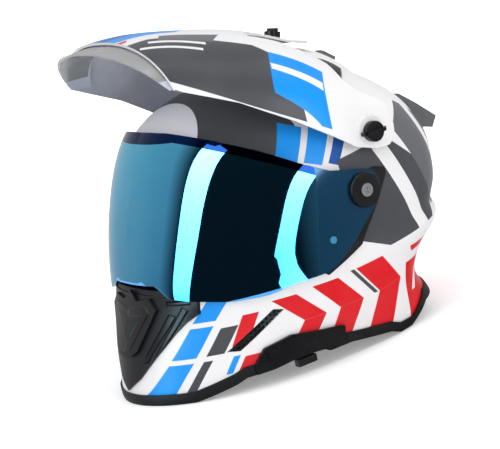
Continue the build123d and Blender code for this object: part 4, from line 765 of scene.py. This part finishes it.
# %% Dress the hard pieces
hard_materials = {
    "outer_shell": shell_paint,
    "crown_fairing": white_paint,
    "face_shield": mirror_blue,
    "peak_extender": smoke_plastic,
    "eyeport_gasket": black_rubber,
    "pinlock_pins": clear_blue,
    "side_plate_left": black_satin,
    "side_plate_right": black_satin,
    "pivot_cap_left": black_satin,
    "pivot_cap_right": black_satin,
    "pivot_screws": steel,
    "chin_trim": black_rubber,
    "neck_trim": black_rubber,
    "side_trim_left": black_satin,
    "side_trim_right": black_satin,
    "chin_vent_surround": vent_satin,
    "chin_vent_shutter": vent_satin,
    "chin_vent_mesh": dark_chrome,
    "side_mesh_left": dark_chrome,
    "side_mesh_right": dark_chrome,
    "peak_bosses": black_satin,
    "peak_knob_left": black_satin,
    "peak_knob_right": black_satin,
    "peak_top_knob": black_satin,
    "crown_vent_slider": grey_satin,
    "crown_vent_left": black_satin,
    "crown_vent_right": black_satin,
    "rear_spoiler": grey_satin,
    "rear_vent_grille": dark_chrome,
    "sun_visor": visor_smoke,
    "sun_visor_pins": black_satin,
    "sun_visor_tab": black_satin,
    "sun_visor_track": black_satin,
    "eps_liner": foam_black,
    "chin_liner": foam_black,
    "breath_guard": black_rubber,
    "strap_anchors": steel,
    "buckle_body": steel,
    "buckle_lever": red_plastic,
    "ratchet_tongue": black_satin,
}
hard_pieces = {}
for node_name, material in hard_materials.items():
    piece = smooth_copy(node_name)
    piece.data.materials.append(material)
    hard_pieces[node_name] = piece
print("hard pieces:", len(hard_pieces))

# %% [markdown]
# ## Peak and shell in more than one finish
# The peak is painted above, plain grey beneath and white along its edge, and the shell is painted outside
# and dark inside. One mesh can hold several materials, so each face gets the finish of the way it faces,
# and no piece has to be cut apart.

# %% Finishes by facing
PEAK_CENTRE = Vector((0.0, 0.0, 0.20))
PEAK_FACING = 0.45
SHELL_CENTRE = Vector((0.0, 0.0, 0.12))
SHELL_FACING = 0.2

peak_piece = smooth_copy("peak")
for material in (peak_paint, peak_underside, white_paint):
    peak_piece.data.materials.append(material)
for face in peak_piece.data.polygons:
    outwards = face.center - PEAK_CENTRE
    outwards.y = 0.0
    turned = face.normal.dot(outwards.normalized())
    if turned > PEAK_FACING:
        face.material_index = 0
    elif turned < -PEAK_FACING:
        face.material_index = 1
    else:
        face.material_index = 2

shell_piece = hard_pieces["outer_shell"]
shell_piece.data.materials.append(shell_inside)
for face in shell_piece.data.polygons:
    outwards = (face.center - SHELL_CENTRE).normalized()
    face.material_index = 1 if face.normal.dot(outwards) < -SHELL_FACING else 0

# %% Even out the gloss
SHIELD_CENTRE = (0.0, 0.02, 0.14)
polished_normals(hard_pieces["face_shield"], SHIELD_CENTRE)
flow_normals(shell_piece, reach=0.007, crease_degrees=18.0)
flow_normals(peak_piece, reach=0.008, crease_degrees=20.0)
print("evened out: face_shield, outer_shell, peak")

# %% [markdown]
# ## Soft pieces
# Pads are foam under knitted cloth: the solid is remeshed evenly, smoothed, puffed a little as cloth would
# be, and subdivided. Webbing and the curtain are thin, and only need smooth shading and their weave.


# %% Pads
PAD_VOXEL = 0.005
PAD_PRESSURE = 4.0
MOST_PUFF = 0.0012
CLOTH_STEPS = 20


def padded_copy(node_name, material):
    """A puffed cloth-covered pad in the room of a CAD solid."""
    piece = smooth_copy(node_name, 180.0)
    bpy.context.view_layer.objects.active = piece
    piece.select_set(True)
    remesh = piece.modifiers.new("even", "REMESH")
    remesh.mode = "VOXEL"
    remesh.voxel_size = PAD_VOXEL
    bpy.ops.object.modifier_apply(modifier=remesh.name)
    relax = piece.modifiers.new("relax", "SMOOTH")
    relax.factor = 0.5
    relax.iterations = 6
    bpy.ops.object.modifier_apply(modifier=relax.name)
    before = [vertex.co.copy() for vertex in piece.data.vertices]
    cloth = piece.modifiers.new("cover", "CLOTH")
    cloth.settings.use_pressure = True
    cloth.settings.uniform_pressure_force = PAD_PRESSURE
    cloth.settings.effector_weights.gravity = 0.0
    cloth.point_cache.frame_start = 1
    cloth.point_cache.frame_end = CLOTH_STEPS
    for step in range(1, CLOTH_STEPS + 1):
        bpy.context.scene.frame_set(step)
    bpy.ops.object.modifier_apply(modifier=cloth.name)
    bpy.context.scene.frame_set(1)
    for vertex, start in zip(piece.data.vertices, before):
        move = vertex.co - start
        if move.length > MOST_PUFF:
            vertex.co = start + move * (MOST_PUFF / move.length)
    finer = piece.modifiers.new("finer", "SUBSURF")
    finer.levels = 1
    finer.render_levels = 1
    bpy.ops.object.modifier_apply(modifier=finer.name)
    bpy.ops.object.shade_smooth()
    piece.data.materials.clear()
    piece.data.materials.append(material)
    bpy.ops.object.select_all(action="DESELECT")
    return piece


for node_name in ("crown_pad", "cheek_pad_left", "cheek_pad_right", "neck_roll"):
    pad = padded_copy(node_name, pad_cloth)
    print(node_name, "faces", len(pad.data.polygons))

# %% Curtain and webbing
for node_name, material in (
    ("chin_curtain", curtain_cloth),
    ("strap_left", strap_web),
    ("strap_right", strap_web),
):
    piece = smooth_copy(node_name, 50.0)
    piece.data.materials.append(material)
    print(node_name, "faces", len(piece.data.polygons))

# %% [markdown]
# ## Floor
# Product pictures stand on white paper that runs on out of sight. The floor is pale and matt, so that it
# takes a soft shadow, and glows faintly. Further off it glows white for the camera alone, which whitens
# the ground without lighting the helmet. Reflections don't see the floor, so that the mirror stays dark,
# and it is clear from beneath, so that the underside can be looked at.

# %% Floor
FLOOR_SIZE = 60.0
FLOOR_DROP = 0.0005
NEAR_GLOW = 0.20
bpy.ops.mesh.primitive_plane_add(size=FLOOR_SIZE, location=(0, 0, -FLOOR_DROP))
floor = bpy.context.object
floor.name = "floor"
floor.visible_glossy = False
floor_material, tree, shader, place = new_material("floor_white")
floor_tone = remap(tree, noise(tree, place, 3.0), 0.2, 0.8, 0.93, 0.95)
tree.links.new(grey(tree, floor_tone), shader.inputs["Base Color"])
shader.inputs["Roughness"].default_value = 0.9
shader.inputs["Specular IOR Level"].default_value = 0.0
distance = tree.nodes.new("ShaderNodeVectorMath")
distance.operation = "LENGTH"
tree.links.new(place, distance.inputs[0])
seen = tree.nodes.new("ShaderNodeLightPath").outputs["Is Camera Ray"]
far_glow = remap(tree, distance.outputs["Value"], 0.25, 1.6, 0.25, 1.0)
glow = calculate(tree, "MULTIPLY_ADD", calculate(tree, "SUBTRACT", far_glow, NEAR_GLOW), seen, NEAR_GLOW)
tree.links.new(grey(tree, glow), shader.inputs["Emission Color"])
shader.inputs["Emission Strength"].default_value = 1.0
underneath = tree.nodes.new("ShaderNodeNewGeometry").outputs["Backfacing"]
tree.links.new(calculate(tree, "SUBTRACT", 1.0, underneath), shader.inputs["Alpha"])
floor.data.materials.append(floor_material)
print("floor", FLOOR_SIZE, "m")

# %% [markdown]
# ## Lamps
# Two tall softboxes stand in front and beside, a wide one hangs overhead and one behind fills the shade.
# Each is placed by the directions of its two ends, as they are read off the curved mirror. A lamp as
# bright as the shield's upright highlights would burn the paint. So the highlights are two glowing cards
# that only reflections see, and the two tall softboxes light the helmet without being mirrored.

# %% Places round the helmet
LAMP_AIM = Vector((0.06, -0.04, 0.15))
LAMP_REACH = 4.0
CARD_STRENGTH = 10.0


def toward(azimuth, elevation):
    """A direction. Azimuth 0 is straight ahead of the helmet and 90 is its left side."""
    turned, raised = radians(azimuth), radians(elevation)
    return Vector((sin(turned) * cos(raised), -cos(turned) * cos(raised), sin(raised)))


def strip_place(low, high):
    """The place and length of a strip whose lower and upper ends lie in two directions."""
    bottom = LAMP_AIM + LAMP_REACH * toward(*low)
    top = LAMP_AIM + LAMP_REACH * toward(*high)
    centre = (bottom + top) / 2
    outward = (centre - LAMP_AIM).normalized()
    lengthways = top - bottom
    along = (lengthways - outward * lengthways.dot(outward)).normalized()
    axes = Matrix((along.cross(outward), along, outward)).transposed()
    return Matrix.Translation(centre) @ axes.to_4x4(), lengthways.length


# %% Softboxes and cards
def add_strip(name, low, high, breadth, power, mirrored=True):
    """A rectangular lamp whose lower and upper ends lie in two directions from the helmet."""
    place, length = strip_place(low, high)
    bpy.ops.object.light_add(type="AREA")
    lamp = bpy.context.object
    lamp.name = name
    lamp.data.shape = "RECTANGLE"
    lamp.data.size = breadth
    lamp.data.size_y = length
    lamp.data.energy = power
    lamp.matrix_world = place
    lamp.visible_glossy = mirrored
    print(name, "length", round(length, 2))


def add_card(name, low, high, breadth, bottom_glow, top_glow):
    """A glowing card that only reflections see, shading from its lower end to its upper end."""
    place, length = strip_place(low, high)
    bpy.ops.mesh.primitive_plane_add(size=1.0)
    card = bpy.context.object
    card.name = name
    card.matrix_world = place @ Matrix.Diagonal((breadth, length, 1.0, 1.0))
    for ray in ("camera", "diffuse", "transmission", "volume_scatter", "shadow"):
        setattr(card, "visible_" + ray, False)
    material, tree, shader, local = new_material(name + "_glow")
    parts = tree.nodes.new("ShaderNodeSeparateXYZ")
    tree.links.new(local, parts.inputs[0])
    share = remap(tree, parts.outputs[1], -0.5, 0.2, 0.0, 1.0)
    tree.links.new(mix_colours(tree, share, bottom_glow, top_glow), shader.inputs["Emission Color"])
    shader.inputs["Base Color"].default_value = (0.0, 0.0, 0.0, 1.0)
    shader.inputs["Emission Strength"].default_value = CARD_STRENGTH
    card.data.materials.append(material)
    print(name, "length", round(length, 2))


# %% Light the helmet
FRONT_LOW = (-8, -18)
FRONT_HIGH = (38, 57)
CARD_TEAL = (0.20, 0.62, 0.85)
CARD_PALE_TEAL = (0.30, 0.62, 0.85)
CARD_WHITE = (1.0, 1.0, 1.0)
add_strip("front_strip", (8, -12), (42, 56), breadth=0.62, power=50.0, mirrored=False)
add_card("front_card", FRONT_LOW, FRONT_HIGH, 1.05, CARD_TEAL, CARD_WHITE)
add_strip("side_strip", (88, -14), (112, 30), breadth=0.62, power=34.0, mirrored=False)
add_card("side_card", (83, -13), (108, 24), 0.80, CARD_PALE_TEAL, CARD_WHITE)
add_strip("overhead", (-150, 78), (60, 66), breadth=2.4, power=50.0)
add_strip("rear_fill", (160, 15), (160, 60), breadth=1.6, power=26.0)

# %% [markdown]
# ## World
# What the lamps leave dark is lit by an even grey world, which the camera sees white. Reflections see a
# third one, a dark studio with a pale patch beside the front strip, one behind and one overhead, as
# between black cards, so that the mirror keeps its navy.

# %% World
DARK_STUDIO = 0.025
AMBIENT = (0.52, 0.52, 0.53)
world = bpy.data.worlds.new("studio")
bpy.context.scene.world = world
world.use_nodes = True
tree = world.node_tree
background = tree.nodes["Background"]
path = tree.nodes.new("ShaderNodeLightPath")
direction = tree.nodes.new("ShaderNodeTexCoord").outputs["Generated"]


def facing_patch(heading, start, full, level):
    """Light in the directions near a heading, fading out by the cosine of the angle."""
    node = tree.nodes.new("ShaderNodeVectorMath")
    node.operation = "DOT_PRODUCT"
    tree.links.new(direction, node.inputs[0])
    node.inputs[1].default_value = heading
    return remap(tree, node.outputs["Value"], start, full, 0.0, level)


beside_strip = toward(*FRONT_LOW).cross(toward(*FRONT_HIGH)).normalized()
front_card = facing_patch(beside_strip, 0.17, 0.44, 0.58)
rear_card = facing_patch(toward(150, 0), 0.55, 0.95, 0.45)
sky_card = facing_patch(toward(0, 90), 0.85, 1.0, 0.5)
print("beside the front strip:", [round(v, 2) for v in beside_strip])
glow = calculate(tree, "ADD", calculate(tree, "ADD", front_card, rear_card), sky_card)
mirrored = calculate(tree, "ADD", glow, DARK_STUDIO)
lit = mix_colours(tree, path.outputs["Is Diffuse Ray"], (1.0, 1.0, 1.0), AMBIENT)
tone = mix_colours(tree, path.outputs["Is Glossy Ray"], lit, grey(tree, mirrored))
tree.links.new(tone, background.inputs["Color"])
background.inputs["Strength"].default_value = 1.0
bpy.context.scene.view_settings.view_transform = "Standard"
